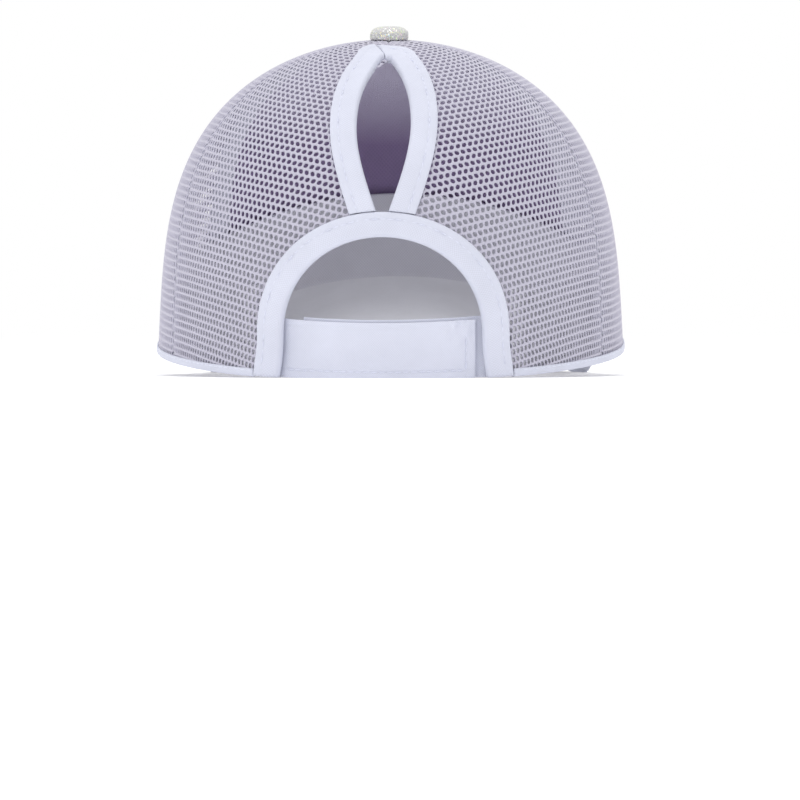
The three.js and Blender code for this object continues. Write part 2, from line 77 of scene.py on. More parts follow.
# The visor
VISOR_TURN = 62.0
VISOR_REACH = 57.0
VISOR_HALF_WIDTH = 75.5
VISOR_SHOULDER = 60.0
VISOR_SQUARENESS = 2.8
VISOR_SLOPE = 24.0
VISOR_BEND = 91.0
VISOR_RISE = 21.5
VISOR_WALL = 1.9
VISOR_UNDER_WALL = 1.0

# The arch, the slot above it and the closing strap
ARCH_RADIUS = 34.3
ARCH_CENTRE = 14.5
ARCH_FLARE = 1.5
ARCH_WIDTH = 8.5
SLOT_BOTTOM = ARCH_CENTRE + ARCH_RADIUS + 8.6
SLOT_MIDDLE = SLOT_BOTTOM + 34.0
SLOT_TOP = SLOT_MIDDLE + 43.0
SLOT_HALF = 9.2
SLOT_TIP = 1.6
SLOT_SHARE = 0.2
SLOT_WIDTH = 9.0
SLOT_WIDTH_TOP = 13.0
NET_TUCK = 2.3
STRAP_HEIGHT = 19.5
STRAP_WALL = 1.2
BAND_HEIGHT = 31.0
BAND_WALL = 1.2
TAPE_WIDTH = 12.0
TAPE_END = 14.5

# How the cap stands: tipped back on its strap and the corners of its visor
TIP = 0.10887131
STAND_HEIGHT = 9.844086
STAND_SHIFT = 29.267272


class CapSizes(bpy.types.PropertyGroup):
    """Sizes of the net, the stitching and the folds"""

    hole_pitch: bpy.props.FloatProperty(
        name="Hole pitch", description="Distance between holes along a row of the net, in mm",
        default=2.15, min=1.5, max=5.0)
    row_pitch: bpy.props.FloatProperty(
        name="Row pitch", description="Distance between two rows of holes, in mm",
        default=2.45, min=1.5, max=5.0)
    hole_width: bpy.props.FloatProperty(
        name="Hole width", description="Width of a hole along its row, in mm",
        default=1.5, min=0.3, max=4.0)
    hole_height: bpy.props.FloatProperty(
        name="Hole height", description="Height of a hole across its row, in mm",
        default=1.72, min=0.3, max=4.0)
    hole_lean: bpy.props.FloatProperty(
        name="Hole lean", description="How far a hole's top is shifted to the side, in mm",
        default=0.2, min=0.0, max=0.6)
    stitch_length: bpy.props.FloatProperty(
        name="Stitch length", description="Length of one stitch, in mm", default=2.3, min=1.0, max=6.0)
    thread: bpy.props.FloatProperty(
        name="Thread thickness", description="Thickness of the sewing thread, in mm",
        default=0.36, min=0.1, max=1.0)
    pucker: bpy.props.FloatProperty(
        name="Pucker depth", description="Depth of the small puckers along sewn tapes, in mm",
        default=0.2, min=0.0, max=0.6)


class CapColours(bpy.types.PropertyGroup):
    """Colours of the cap's cloths"""

    glitter: bpy.props.FloatVectorProperty(
        name="Glitter cloth", description="Ground colour of the glitter cloth", subtype="COLOR",
        default=(0.60, 0.60, 0.595), min=0.0, max=1.0)
    net: bpy.props.FloatVectorProperty(
        name="Net", description="Colour of the net's yarn", subtype="COLOR",
        default=(0.52, 0.505, 0.61), min=0.0, max=1.0)
    tape: bpy.props.FloatVectorProperty(
        name="Tape", description="Colour of the bindings and the strap", subtype="COLOR",
        default=(0.725, 0.745, 0.865), min=0.0, max=1.0)
    band: bpy.props.FloatVectorProperty(
        name="Sweatband", description="Colour of the sweatband and the visor lining", subtype="COLOR",
        default=(0.72, 0.72, 0.78), min=0.0, max=1.0)
    seams: bpy.props.FloatVectorProperty(
        name="Seam tapes", description="Colour of the tapes behind the seams", subtype="COLOR",
        default=(0.86, 0.88, 0.97), min=0.0, max=1.0)
    inside: bpy.props.FloatVectorProperty(
        name="Front lining", description="Colour of the stiffener inside the front panel", subtype="COLOR",
        default=(0.28, 0.21, 0.37), min=0.0, max=1.0)


def sizes():
    return bpy.context.scene.cap_sizes


def colours():
    return bpy.context.scene.cap_colours


# Shape of the crown


def fullness(turn):
    front = np.cos(turn)
    end = np.where(front > 0, FULLNESS_FRONT, FULLNESS_BACK)
    return FULLNESS_SIDE + (end - FULLNESS_SIDE) * front**2


def rise(turn, lift):
    return np.sin(lift) ** (2 / fullness(turn))


def width_share(turn, lift):
    return np.cos(lift) * (1 - CROWN_TAPER * rise(turn, lift))


def crown_surface(turn, lift):
    turn, lift = np.broadcast_arrays(np.asarray(turn, float), np.asarray(lift, float))
    share = width_share(turn, lift)
    front = np.cos(turn)
    depth = np.where(front > 0, CROWN_FRONT, CROWN_BACK)
    return np.stack([
        HALF_WIDTH * np.sin(turn) * share,
        -depth * front * share + APEX_SETBACK * (1 - share),
        CROWN_HEIGHT * rise(turn, lift),
    ], -1)


def crown_normal(turn, lift):
    step = 1e-3
    across = crown_surface(turn + step, lift) - crown_surface(turn - step, lift)
    up = crown_surface(turn, lift + step) - crown_surface(turn, np.maximum(lift - step, 0))
    normal = np.cross(across, up)
    return normal / np.linalg.norm(normal, axis=-1, keepdims=True)


def crown_point(turn, lift, offset):
    turn, lift, offset = np.broadcast_arrays(
        np.asarray(turn, float), np.asarray(lift, float), np.asarray(offset, float))
    return crown_surface(turn, lift) + crown_normal(turn, lift) * offset[..., None]


# Lengths up the crown for every turn, and the lifts that belong to even shares of them
TURNS = np.linspace(-math.pi, math.pi, 361)
LIFT_STEPS, SHARE_STEPS, LIFT_POWER = 120, 400, 1.5
LIFTS = math.pi / 2 * (np.arange(LIFT_STEPS + 1) / LIFT_STEPS) ** LIFT_POWER
_LINES = crown_surface(TURNS[:, None], LIFTS[None, :])
_STEPS = np.linalg.norm(np.diff(_LINES, axis=1), axis=2)
LENGTHS = np.concatenate([np.zeros((len(TURNS), 1)), np.cumsum(_STEPS, axis=1)], axis=1)
SHARES = np.linspace(0, 1, SHARE_STEPS + 1)
LIFT_TABLE = np.array([np.interp(SHARES * row[-1], row, LIFTS) for row in LENGTHS])
FRONT_LENGTH = LENGTHS[len(TURNS) // 2, -1]

# Distance round the rim from the front, for turns a little past half way on both sides
ROUND_TURNS = np.linspace(-2.2, 5.4, 2001)
_DEPTHS = np.where(np.cos(ROUND_TURNS) > 0, CROWN_FRONT, CROWN_BACK)
_PACES = np.hypot(HALF_WIDTH * np.cos(ROUND_TURNS), _DEPTHS * np.sin(ROUND_TURNS))
ROUND = np.concatenate([[0], np.cumsum((_PACES[1:] + _PACES[:-1]) / 2 * np.diff(ROUND_TURNS))])


def table_value(table, turn, column):
    """A value between the rows (turns) and columns of a table."""
    turn = (np.asarray(turn, float) + math.pi) % (2 * math.pi)
    row = np.clip(turn / (2 * math.pi) * (len(table) - 1), 0, len(table) - 1.001)
    column = np.clip(column, 0, table.shape[1] - 1.001)
    r, c = row.astype(int), column.astype(int)
    fr, fc = row - r, column - c
    low = table[r, c] * (1 - fc) + table[r, c + 1] * fc
    high = table[r + 1, c] * (1 - fc) + table[r + 1, c + 1] * fc
    return low * (1 - fr) + high * fr


def length_at(turn, lift):
    share = np.clip(lift, 0, None) / (math.pi / 2)
    return table_value(LENGTHS, turn, LIFT_STEPS * share ** (1 / LIFT_POWER))


def lift_at(turn, length):
    full = table_value(LENGTHS, turn, np.full(np.shape(turn), float(LIFT_STEPS)))
    return table_value(LIFT_TABLE, turn, SHARE_STEPS * np.clip(length / full, 0, 1))


def pace(turn, lift):
    """Distance round the crown per radian of turn."""
    return np.interp(turn, ROUND_TURNS, _PACES) * width_share(turn, lift)


APEX_LIFT = math.acos(APEX_HOLE / HALF_WIDTH)


def back_turn(x, lift):
    share = x / crown_surface(math.pi / 2, lift)[..., 0]
    return math.pi - np.arcsin(np.clip(share, -1, 1))


def back_point(x, length, offset):
    x, length, offset = np.broadcast_arrays(*(np.asarray(v, float) for v in (x, length, offset)))
    lift = lift_at(np.full(x.shape, math.pi), length)
    return crown_point(back_turn(x, lift), lift, offset)


def visor_point(x, forward, offset):
    drop = VISOR_BEND - np.sqrt(VISOR_BEND**2 - x * x)
    slope = math.tan(math.radians(VISOR_SLOPE))
    height = VISOR_RISE - slope * (forward - CROWN_FRONT) - drop
    steepness = np.sqrt(1 + (x / (VISOR_BEND - drop)) ** 2 + slope**2)
    return np.stack(np.broadcast_arrays(x, -forward, height + offset * steepness), -1)


def smoothstep(value, low, high):
    share = np.clip((value - low) / (high - low), 0, 1)
    return share * share * (3 - 2 * share)


def rim_height(turn):
    turn = np.abs(turn)
    end = math.radians(VISOR_TURN)
    on_visor = np.minimum(turn, end)
    z = visor_point(HALF_WIDTH * np.sin(on_visor), CROWN_FRONT * np.cos(on_visor), -VISOR_WALL / 2)[..., 2]
    return z * (1 - smoothstep(turn, end, math.radians(RIM_LEVEL)))


def lift_at_height(turn, height):
    return np.arcsin((np.maximum(height, 0) / CROWN_HEIGHT) ** (fullness(turn) / 2))


def seam_turn(angle, lean, lift):
    return np.radians(angle + lean * np.sin(lift) ** (2 / FULLNESS_SIDE))


def front_seam(lift):
    return seam_turn(FRONT_SEAM, FRONT_SEAM_LEAN, lift)


def back_seam(lift):
    return seam_turn(BACK_SEAM, BACK_SEAM_LEAN, lift)


def lift_up_line(turn, low, high, share):
    """The lift at a share of the way up one line, from one lift to another, in even steps of length."""
    start = length_at(turn, low)
    return lift_at(turn, start + (length_at(turn, high) - start) * share)


# Edges of the arch and the slot


def arch_edge(length, outside):
    radius = ARCH_RADIUS + outside
    above = length - ARCH_CENTRE
    foot = np.maximum(-above, 0) / ARCH_CENTRE
    over = np.sqrt(np.maximum(radius**2 - np.maximum(above, 0) ** 2, 0))
    return over + np.where(above <= 0, ARCH_FLARE * foot**2, 0)


def slot_half(length):
    up = np.clip((length - SLOT_MIDDLE) / (SLOT_TOP - SLOT_MIDDLE), 0, 1)
    upper = SLOT_HALF * np.cos(up * math.pi / 2)
    down = np.clip((length - SLOT_BOTTOM) / (SLOT_MIDDLE - SLOT_BOTTOM), 0, 1)
    bottom = SLOT_SHARE * SLOT_HALF
    lower = bottom + (SLOT_HALF - bottom) * np.sin(down * math.pi / 2)
    top_slope = math.pi / 2 * SLOT_HALF / (SLOT_TOP - SLOT_MIDDLE)
    bottom_slope = math.pi / 2 * (SLOT_HALF - bottom) / (SLOT_MIDDLE - SLOT_BOTTOM)
    half = np.where(length > SLOT_MIDDLE, upper, lower)
    half = np.where(length > SLOT_TOP, -(length - SLOT_TOP) * top_slope, half)
    return np.where(length < SLOT_BOTTOM, bottom - (SLOT_BOTTOM - length) * bottom_slope, half)


def slot_slope(length):
    return (slot_half(length + 0.05) - slot_half(length - 0.05)) / 0.1


def net_edge(length):
    slot = slot_half(length) + NET_TUCK * np.hypot(1, slot_slope(length))
    return np.maximum(np.maximum(arch_edge(length, NET_TUCK), slot), SEAM_GAP / 2)


# Making pieces

# Edges sharper than this angle are rounded, and no point comes nearer to the floor than the gap
SHARP_ANGLE = 40.0
LEAST_FLOOR_GAP = 0.02

# A stitch's pitch for its length, and its height for its width
STITCH_PITCH = 1.18
STITCH_HEIGHT = 0.8

def stand(points):
    """Points of the cap's own frame, in millimetres, as they stand on the floor, in metres."""
    x, y, z = np.moveaxis(points, -1, 0)
    c, s = math.cos(TIP), math.sin(TIP)
    up = np.maximum(-y * s + z * c + STAND_HEIGHT, LEAST_FLOOR_GAP)
    return np.stack([x, y * c + z * s + STAND_SHIFT, up], -1) * MM


def deselect():
    if bpy.context.object and bpy.context.object.mode != "OBJECT":
        bpy.ops.object.mode_set(mode="OBJECT")
    bpy.ops.object.select_all(action="DESELECT")


def points_of(piece):
    points = np.empty(len(piece.data.vertices) * 3)
    piece.data.vertices.foreach_get("co", points)
    return points.reshape(-1, 3)


def grid_piece(name, columns, rows, place, size):
    """A grid moved corner by corner onto the cap, with its UV map in millimetres of cloth.

    place takes the shares across and up of all corners, and size is the cloth's width and height.
    """
    deselect()
    bpy.ops.mesh.primitive_grid_add(x_subdivisions=columns, y_subdivisions=rows, size=2)
    piece = bpy.context.object
    piece.name = piece.data.name = name
    flat = points_of(piece)
    if len(flat) != (columns + 1) * (rows + 1):
        raise RuntimeError(f"{name}: the grid has {len(flat)} corners")
    placed = stand(place((flat[:, 0] + 1) / 2, (flat[:, 1] + 1) / 2))
    piece.data.vertices.foreach_set("co", placed.ravel())
    layer = piece.data.uv_layers.active.data
    uv = np.empty(len(layer) * 2)
    layer.foreach_get("uv", uv)
    layer.foreach_set("uv", (uv.reshape(-1, 2) * np.array(size)).ravel())
    piece.data.update()
    return piece


def make_active(piece):
    deselect()
    piece.select_set(True)
    bpy.context.view_layer.objects.active = piece


def in_edit_mode(piece, *steps):
    """Runs mesh operators, each a function of no argument, on the whole of one piece."""
    make_active(piece)
    bpy.ops.object.mode_set(mode="EDIT")
    for step in steps:
        bpy.ops.mesh.select_all(action="SELECT")
        step()
    bpy.ops.object.mode_set(mode="OBJECT")


def weld(piece):
    """Merges the corners that meet, closes the open ends and turns all faces outwards."""
    in_edit_mode(
        piece,
        lambda: bpy.ops.mesh.remove_doubles(threshold=0.01 * MM),
        lambda: bpy.ops.mesh.fill_holes(sides=0),
        lambda: bpy.ops.mesh.normals_make_consistent(inside=False))


def apply_modifier(piece, kind, **settings):
    make_active(piece)
    modifier = piece.modifiers.new(kind.title(), kind)
    for key, value in settings.items():
        setattr(modifier, key, value)
    bpy.ops.object.modifier_apply(modifier=modifier.name)


def thicken(piece, wall, inner=0):
    """Gives a sheet its wall, inwards from its face, with another material on the inside if asked."""
    apply_modifier(piece, "SOLIDIFY", thickness=wall * MM, offset=-1.0, use_even_offset=True,
                   material_offset=inner)


def soften(piece, width):
    """Rounds the sharp edges of a cloth piece."""
    apply_modifier(piece, "BEVEL", width=width * MM, segments=2, limit_method="ANGLE",
                   angle_limit=math.radians(SHARP_ANGLE), miter_outer="MITER_ARC")


def finish(piece, slot, material, *nodes):
    """Sets a piece's material, if one is named, shades it smooth, hangs it on the root body and hides the
    parts it stands for; the slot is not used.
    """
    if material:
        piece.data.materials.append(cloth(material))
    piece.data.shade_smooth()
    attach(piece, "root")
    if nodes:
        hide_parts(*nodes)


def copies(name, template, faces, keep=None):
    """One mesh of many copies.

    template holds the placed corners, copy by copy, faces are those of one copy, and keep says which of
    them each copy has.
    """
    count, corners = template.shape[:2]
    starts = np.arange(count)[:, None, None] * corners
    loops = np.asarray(faces)[None] + starts
    loops = loops.reshape(-1, loops.shape[-1]) if keep is None else loops[keep]
    mesh = bpy.data.meshes.new(name)
    mesh.from_pydata(template.reshape(-1, 3).tolist(), [], loops.tolist())
    mesh.update()
    piece = bpy.data.objects.new(name, mesh)
    bpy.context.scene.collection.objects.link(piece)
    return piece


def mirror(piece):
    """Moves the corners of a piece over to the wearer's other side."""
    points = points_of(piece)
    points[:, 0] *= -1
    piece.data.vertices.foreach_set("co", points.ravel())
    piece.data.flip_normals()


def mirrored(piece, name):
    """A copy of a piece for the wearer's other side."""
    twin = piece.copy()
    twin.data = piece.data.copy()
    twin.name = twin.data.name = name
    bpy.context.scene.collection.objects.link(twin)
    mirror(twin)
    twin.data.update()
    return twin


def stitch_bead():
    """One stitch: a low bead with its corners and faces, of unit length, width and height."""
    deselect()
    bpy.ops.mesh.primitive_cube_add(size=1)
    bead = bpy.context.object
    apply_modifier(bead, "SUBSURF", levels=1, render_levels=1)
    corners = points_of(bead)
    faces = [list(face.vertices) for face in bead.data.polygons]
    mesh = bead.data
    bpy.data.objects.remove(bead)
    bpy.data.meshes.remove(mesh)
    return corners / corners.max() / 2, faces


def stitches(name, line, outward, material, slot):
    """Stitches along a line of points in the cap's frame, each lying on the cloth.

    line and outward are arrays of points and directions, with at least two points for each stitch.
    """
    length, thread = sizes().stitch_length, sizes().thread
    pitch = length * STITCH_PITCH
    along = np.concatenate([[0], np.cumsum(np.linalg.norm(np.diff(line, axis=0), axis=1))])
    count = int(along[-1] // pitch)
    starts = (np.arange(count) + 0.1) * pitch

    def at(distance, values):
        return np.stack([np.interp(distance, along, values[:, k]) for k in range(3)], -1)

    head, tail = at(starts, line), at(starts + length, line)
    forward = (tail - head) / np.linalg.norm(tail - head, axis=1)[:, None]
    up = at(starts + length / 2, outward)
    up -= forward * np.sum(up * forward, axis=1)[:, None]
    up /= np.linalg.norm(up, axis=1)[:, None]
    side = np.cross(up, forward)
    corners, faces = stitch_bead()
    middle = (head + tail) / 2
    placed = (middle[:, None] + corners[None, :, 0, None] * forward[:, None] * length
              + corners[None, :, 1, None] * side[:, None] * thread
              + corners[None, :, 2, None] * up[:, None] * thread * STITCH_HEIGHT)
    finish(copies(name, stand(placed), faces), slot, material)


# Materials


def feed(tree, made, inputs):
    """Gives sockets of a node a value each, or another node's output to follow."""
    for key, value in inputs.items():
        if isinstance(value, bpy.types.NodeSocket):
            tree.links.new(value, made.inputs[key])
        else:
            made.inputs[key].default_value = value


def node(tree, kind, place, inputs=None, **values):
    made = tree.nodes.new(kind)
    made.location = place
    for key, value in values.items():
        setattr(made, key, value)
    feed(tree, made, inputs or {})
    return made


def maths(tree, place, operation, *values):
    return node(tree, "ShaderNodeMath", place, dict(enumerate(values)), operation=operation).outputs[0]


def vectors(tree, place, operation, inputs):
    return node(tree, "ShaderNodeVectorMath", place, inputs, operation=operation).outputs[0]


def group(name, inputs, outputs):
    """A new shader node group with its sockets, the outputs of its input node, and its output node.

    An input with a number is a number's socket, and one with None a vector's.
    """
    tree = bpy.data.node_groups.new(name, "ShaderNodeTree")
    for label, default in inputs.items():
        kind = "NodeSocketVector" if default is None else "NodeSocketFloat"
        socket = tree.interface.new_socket(label, in_out="INPUT", socket_type=kind)
        if default is not None:
            socket.default_value = default
    for label, kind in outputs.items():
        tree.interface.new_socket(label, in_out="OUTPUT", socket_type=f"NodeSocket{kind}")
    return tree, node(tree, "NodeGroupInput", (-900, 0)).outputs, node(tree, "NodeGroupOutput", (700, 0))


def woven_group():
    """Plain-weave threads as a height, from cloth coordinates in millimetres."""
    tree, given, result = group(
        "Woven threads", {"Cloth": None, "Threads per mm": 2.2}, {"Height": "Float"})
    wobble = node(tree, "ShaderNodeTexNoise", (-700, -250),
                  {"Scale": 0.9, "Detail": 2.0, "Vector": given["Cloth"]})
    sway = maths(tree, (-600, 320), "MULTIPLY", wobble.outputs["Fac"], 0.25)
    split = node(tree, "ShaderNodeSeparateXYZ", (-700, 0), {0: given["Cloth"]})
    turns = maths(tree, (-500, -150), "MULTIPLY", given["Threads per mm"], math.pi)
    waves = []
    for row, axis in enumerate(("X", "Y")):
        level = 200 - 120 * row
        shifted = maths(tree, (-500, level), "ADD", split.outputs[axis], sway)
        angle = maths(tree, (-300, level), "MULTIPLY", shifted, turns)
        waves.append(maths(tree, (-150, level), "SINE", angle))
    product = maths(tree, (50, 150), "MULTIPLY", *waves)
    feed(tree, result, {"Height": maths(tree, (250, 150), "MULTIPLY_ADD", product, 0.5, 0.5)})
    return tree


def fibre_group():
    """Fine loose fibres as a height, and a slow unevenness of the cloth as a mask."""
    tree, given, result = group(
        "Cloth fibres", {"Point": None, "Fibres": 2500.0}, {"Height": "Float", "Unevenness": "Float"})
    fine = node(tree, "ShaderNodeTexNoise", (-500, 200),
                {"Detail": 3.0, "Roughness": 0.65, "Vector": given["Point"], "Scale": given["Fibres"]})
    slow = node(tree, "ShaderNodeTexNoise", (-500, -100),
                {"Scale": 70.0, "Detail": 4.0, "Vector": given["Point"]})
    feed(tree, result, {"Height": fine.outputs["Fac"], "Unevenness": slow.outputs["Fac"]})
    return tree


FLAKE_TINTS = (
    (0.0, (0.86, 0.87, 0.84, 1)), (0.4, (0.78, 0.95, 0.55, 1)), (0.55, (0.98, 0.93, 0.6, 1)),
    (0.7, (0.95, 0.72, 0.82, 1)), (0.82, (0.7, 0.86, 0.95, 1)), (0.9, (1.0, 1.0, 1.0, 1)),
)


def flake_group():
    """Glitter flakes: which places shine, the colour they throw, and the way each one leans."""
    tree, given, result = group(
        "Glitter flakes", {"Point": None, "Flakes per metre": 2300.0, "Lean": 0.4},
        {"Shine": "Float", "Colour": "Color", "Normal": "Vector"})
    cells = node(tree, "ShaderNodeTexVoronoi", (-650, 200),
                 {"Vector": given["Point"], "Scale": given["Flakes per metre"]}, feature="F1")
    parts = node(tree, "ShaderNodeSeparateColor", (-450, 200), {0: cells.outputs["Color"]})
    shine = node(tree, "ShaderNodeMapRange", (-250, 300),
                 {"From Min": 0.72, "From Max": 0.8, "Value": parts.outputs["Red"]})
    tints = node(tree, "ShaderNodeValToRGB", (-250, 50), {"Fac": parts.outputs["Green"]})
    ramp = tints.color_ramp
    ramp.interpolation = "CONSTANT"
    ramp.elements[0].position, ramp.elements[0].color = FLAKE_TINTS[0]
    ramp.elements[1].position, ramp.elements[1].color = FLAKE_TINTS[-1]
    for position, colour in FLAKE_TINTS[1:-1]:
        ramp.elements.new(position).color = colour
    lean = vectors(tree, (-250, -200), "SUBTRACT", {0: cells.outputs["Color"], 1: (0.5, 0.5, 0.5)})
    scaled = vectors(tree, (-50, -200), "SCALE", {0: lean, "Scale": given["Lean"]})
    face = node(tree, "ShaderNodeNewGeometry", (-50, -400))
    added = vectors(tree, (150, -250), "ADD", {0: scaled, 1: face.outputs["Normal"]})
    unit = vectors(tree, (350, -250), "NORMALIZE", {0: added})
    feed(tree, result, {"Shine": shine.outputs[0], "Colour": tints.outputs["Color"], "Normal": unit})
    return tree


GROUPS = {"Woven threads": woven_group, "Cloth fibres": fibre_group, "Glitter flakes": flake_group}


def place_group(tree, name, place, inputs):
    """A node group set in a material, made at its first use, with its outputs."""
    made = node(tree, "ShaderNodeGroup", place)
    made.node_tree = bpy.data.node_groups.get(name) or GROUPS[name]()
    feed(tree, made, inputs)
    return made.outputs


def new_material(name, inputs):
    """A material with its tree, its shader and the outputs of its coordinates."""
    material = bpy.data.materials.new(name)
    material.use_nodes = True
    tree = material.node_tree
    shader = tree.nodes["Principled BSDF"]
    feed(tree, shader, {"Specular IOR Level": 0.25, **inputs})
    return material, tree, shader, node(tree, "ShaderNodeTexCoord", (-1200, 0)).outputs


def mix(tree, place, factor, first, second, **values):
    inputs = {"Factor": factor, "A": first, "B": second}
    return node(tree, "ShaderNodeMix", place, inputs, data_type="RGBA", **values).outputs["Result"]


def bump(tree, place, strength, distance, height, **under):
    inputs = {"Strength": strength, "Distance": distance * MM, "Height": height, **under}
    return node(tree, "ShaderNodeBump", place, inputs).outputs["Normal"]


def tinted(colour, factor):
    return *(part * factor for part in colour[:3]), 1.0


def cloth_material(name, colour, threads, depth, sheen=0.15):
    """Woven cloth: threads from the UV map with painted shade between them, loose fibres and a slow
    unevenness of colour.
    """
    material, tree, shader, place = new_material(name, {"Roughness": 0.88, "Sheen Weight": sheen})
    weave = place_group(tree, "Woven threads", (-850, -100),
                        {"Threads per mm": threads, "Cloth": place["UV"]})
    fibres = place_group(tree, "Cloth fibres", (-850, -350), {"Point": place["Object"]})
    ground = mix(tree, (-400, 200), fibres["Unevenness"], tinted(colour, 0.88), tinted(colour, 1.03))
    # Painted shade: the colour is darkened by up to 12% where the weave lies low between the threads.
    painted_weave_shade = mix(tree, (-200, 200), 0.12, ground, weave["Height"], blend_type="MULTIPLY")
    rough = bump(tree, (-450, -350), 0.35, 0.12, fibres["Height"])
    relief = bump(tree, (-200, -200), 0.6, depth, weave["Height"], Normal=rough)
    feed(tree, shader, {"Base Color": painted_weave_shade, "Normal": relief})
    return material


def yarn_material(name, colour, fibres_per_metre, depth, finish_inputs):
    """Knitted yarn or sewing thread: soft fibres on Object coordinates."""
    material, tree, shader, place = new_material(name, {"Sheen Weight": 0.1, **finish_inputs})
    fibres = place_group(tree, "Cloth fibres", (-850, -200),
                         {"Fibres": fibres_per_metre, "Point": place["Object"]})
    ground = mix(tree, (-400, 200), fibres["Height"], tinted(colour, 0.9), tinted(colour, 1.06))
    relief = bump(tree, (-300, -200), 0.6, depth, fibres["Height"])
    feed(tree, shader, {"Base Color": ground, "Normal": relief})
    return material


def glitter_material():
    """Grey-white cloth strewn with fine flakes that throw green, yellow and pink."""
    material, tree, shader, place = new_material("glitter cloth", {})
    flakes = place_group(tree, "Glitter flakes", (-850, 100), {"Point": place["Object"]})
    fibres = place_group(tree, "Cloth fibres", (-850, -300), {"Fibres": 1800.0, "Point": place["Object"]})
    colour = colours().glitter
    ground = mix(tree, (-500, 300), fibres["Height"], tinted(colour, 0.9), tinted(colour, 1.08))
    feed(tree, shader, {
        "Base Color": mix(tree, (-250, 300), flakes["Shine"], ground, flakes["Colour"]),
        "Metallic": maths(tree, (-250, 50), "MULTIPLY", flakes["Shine"], 0.5),
        "Roughness": maths(tree, (-250, -100), "MULTIPLY_ADD", flakes["Shine"], -0.35, 0.6),
        "Normal": flakes["Normal"]})
    return material


def lining_material():
    """The stiffener inside the front panel, with painted light lightening it towards the button."""
    material = cloth_material("front lining", colours().inside, 1.1, 0.12, 0.05)
    tree = material.node_tree
    shader = tree.nodes["Principled BSDF"]
    cloth = shader.inputs["Base Color"].links[0].from_socket
    place = next(made for made in tree.nodes if made.type == "TEX_COORD")
    # Painted light: between 88 and 112 mm up, the lining is mixed up to 0.75 of the way to pale lilac,
    # lighter towards the button.
    split = node(tree, "ShaderNodeSeparateXYZ", (-400, 500), {0: place.outputs["Object"]})
    height = node(tree, "ShaderNodeMapRange", (-200, 500),
                  {"From Min": 0.088, "From Max": 0.112, "To Max": 0.75, "Value": split.outputs["Z"]})
    painted_light_to_top = mix(tree, (0, 400), height.outputs["Result"], cloth, (0.75, 0.72, 0.86, 1))
    feed(tree, shader, {"Base Color": painted_light_to_top})
    return material


MATERIALS = {
    "glitter cloth": glitter_material,
    "front lining": lining_material,
    "net yarn": lambda: yarn_material(
        "net yarn", colours().net, 3200.0, 0.12, {"Roughness": 0.5, "Specular IOR Level": 0.6}),
    "sewing thread": lambda: yarn_material(
        "sewing thread", tinted(colours().tape, 1.05), 5000.0, 0.06, {"Roughness": 0.8}),
    "white tape": lambda: cloth_material("white tape", colours().tape, 2.4, 0.05),
    "seam tape": lambda: cloth_material("seam tape", colours().seams, 2.4, 0.05),
    "white lining": lambda: cloth_material("white lining", colours().band, 1.8, 0.07),
}


def cloth(name):
    """A material that is made once and used again."""
    return bpy.data.materials.get(name) or MATERIALS[name]()


# The pieces


def front_panel_place(u, v):
    across = 2 * u - 1
    at_rim = across * front_seam(0)
    low = lift_at_height(at_rim, rim_height(at_rim))
    lift = lift_up_line(at_rim, low, APEX_LIFT, v)
    edge = front_seam(lift)
    turn = across * (edge - half_gap(edge, lift))
    to_top = FRONT_LENGTH - length_at(turn, lift)
    aside = turn * pace(turn, lift)
    on_dart = smoothstep(DART_LENGTH - to_top, 0, 12)
    dart = -0.75 * np.exp(-(aside / 0.8) ** 2) + 0.25 * np.exp(-((np.abs(aside) - 2.4) / 1.5) ** 2)
    to_seam = (edge - np.abs(turn)) * pace(turn, lift)
    dive = -0.35 * np.exp(-(to_seam / 1.4) ** 2)
    return crown_point(turn, lift, on_dart * dart + dive)


def dart_line():
    """The stitched line beside the dart, down from the button."""
    to_top = np.linspace(9, DART_LENGTH - 4, 160)
    middle = np.zeros(len(to_top))
    lift = lift_at(middle, FRONT_LENGTH - to_top)
    turn = 1.5 / pace(middle, lift)
    return crown_point(turn, lift, 0.18), crown_normal(turn, lift)


class CAP_OT_front_panel(bpy.types.Operator):
    """Makes the glitter cloth front panel with its dart and dark stiffener"""

    bl_idname = "cap.front_panel"
    bl_label = "Front panel"

    def execute(self, context):
        panel = grid_piece("front_panel_cloth", 132, 110, front_panel_place, (190, 150))
        for name in ("glitter cloth", "front lining"):
            panel.data.materials.append(cloth(name))
        thicken(panel, PANEL_WALL, inner=1)
        finish(panel, "glitter_cloth", None, "front_panel")
        line, outward = dart_line()
        stitches("dart_stitches", line, outward, "glitter cloth", "glitter_cloth")
        return {"FINISHED"}


# The flat nets: their reach aside and up, the rows that start under the rim, the climb and droop of
# the back net's rows, the slant of its columns, and how near corners are woven together
SIDE_MIDDLE, SIDE_REACH = math.radians(87), (-56, 56)
BACK_REACH = (-44, 146)
NET_HEIGHT = 220
ROWS_BELOW = 16
NET_CLIMB = 0.29
NET_DROOP = 0.0015
NET_SLANT = 0.42
SLANT_FADE = 110
SLANT_LEVEL = 50
WOVEN_TOGETHER = 0.012
TURN_PASSES = 5


def net_cell(parity):
    """Corners of one hole's cell, ring by ring from the back over the hole to the front."""
    pitch, row = sizes().hole_pitch, sizes().row_pitch
    angle = np.arange(8) * math.pi / 4
    outer = np.stack([np.sign(np.round(np.cos(angle), 6)) * pitch / 2,
                      np.sign(np.round(np.sin(angle), 6)) * row / 2], -1)
    hole = np.stack([sizes().hole_width / 2 * np.cos(angle) + parity * sizes().hole_lean * np.sin(angle),
                     sizes().hole_height / 2 * np.sin(angle)], -1)
    between = hole + 0.4 * (outer - hole)
    half = YARN / 2
    rings = [(outer, -half), (between, -0.78 * half), (hole, 0), (between, 0.78 * half), (outer, half)]
    return np.concatenate([np.column_stack([ring, np.full(8, height)]) for ring, height in rings])


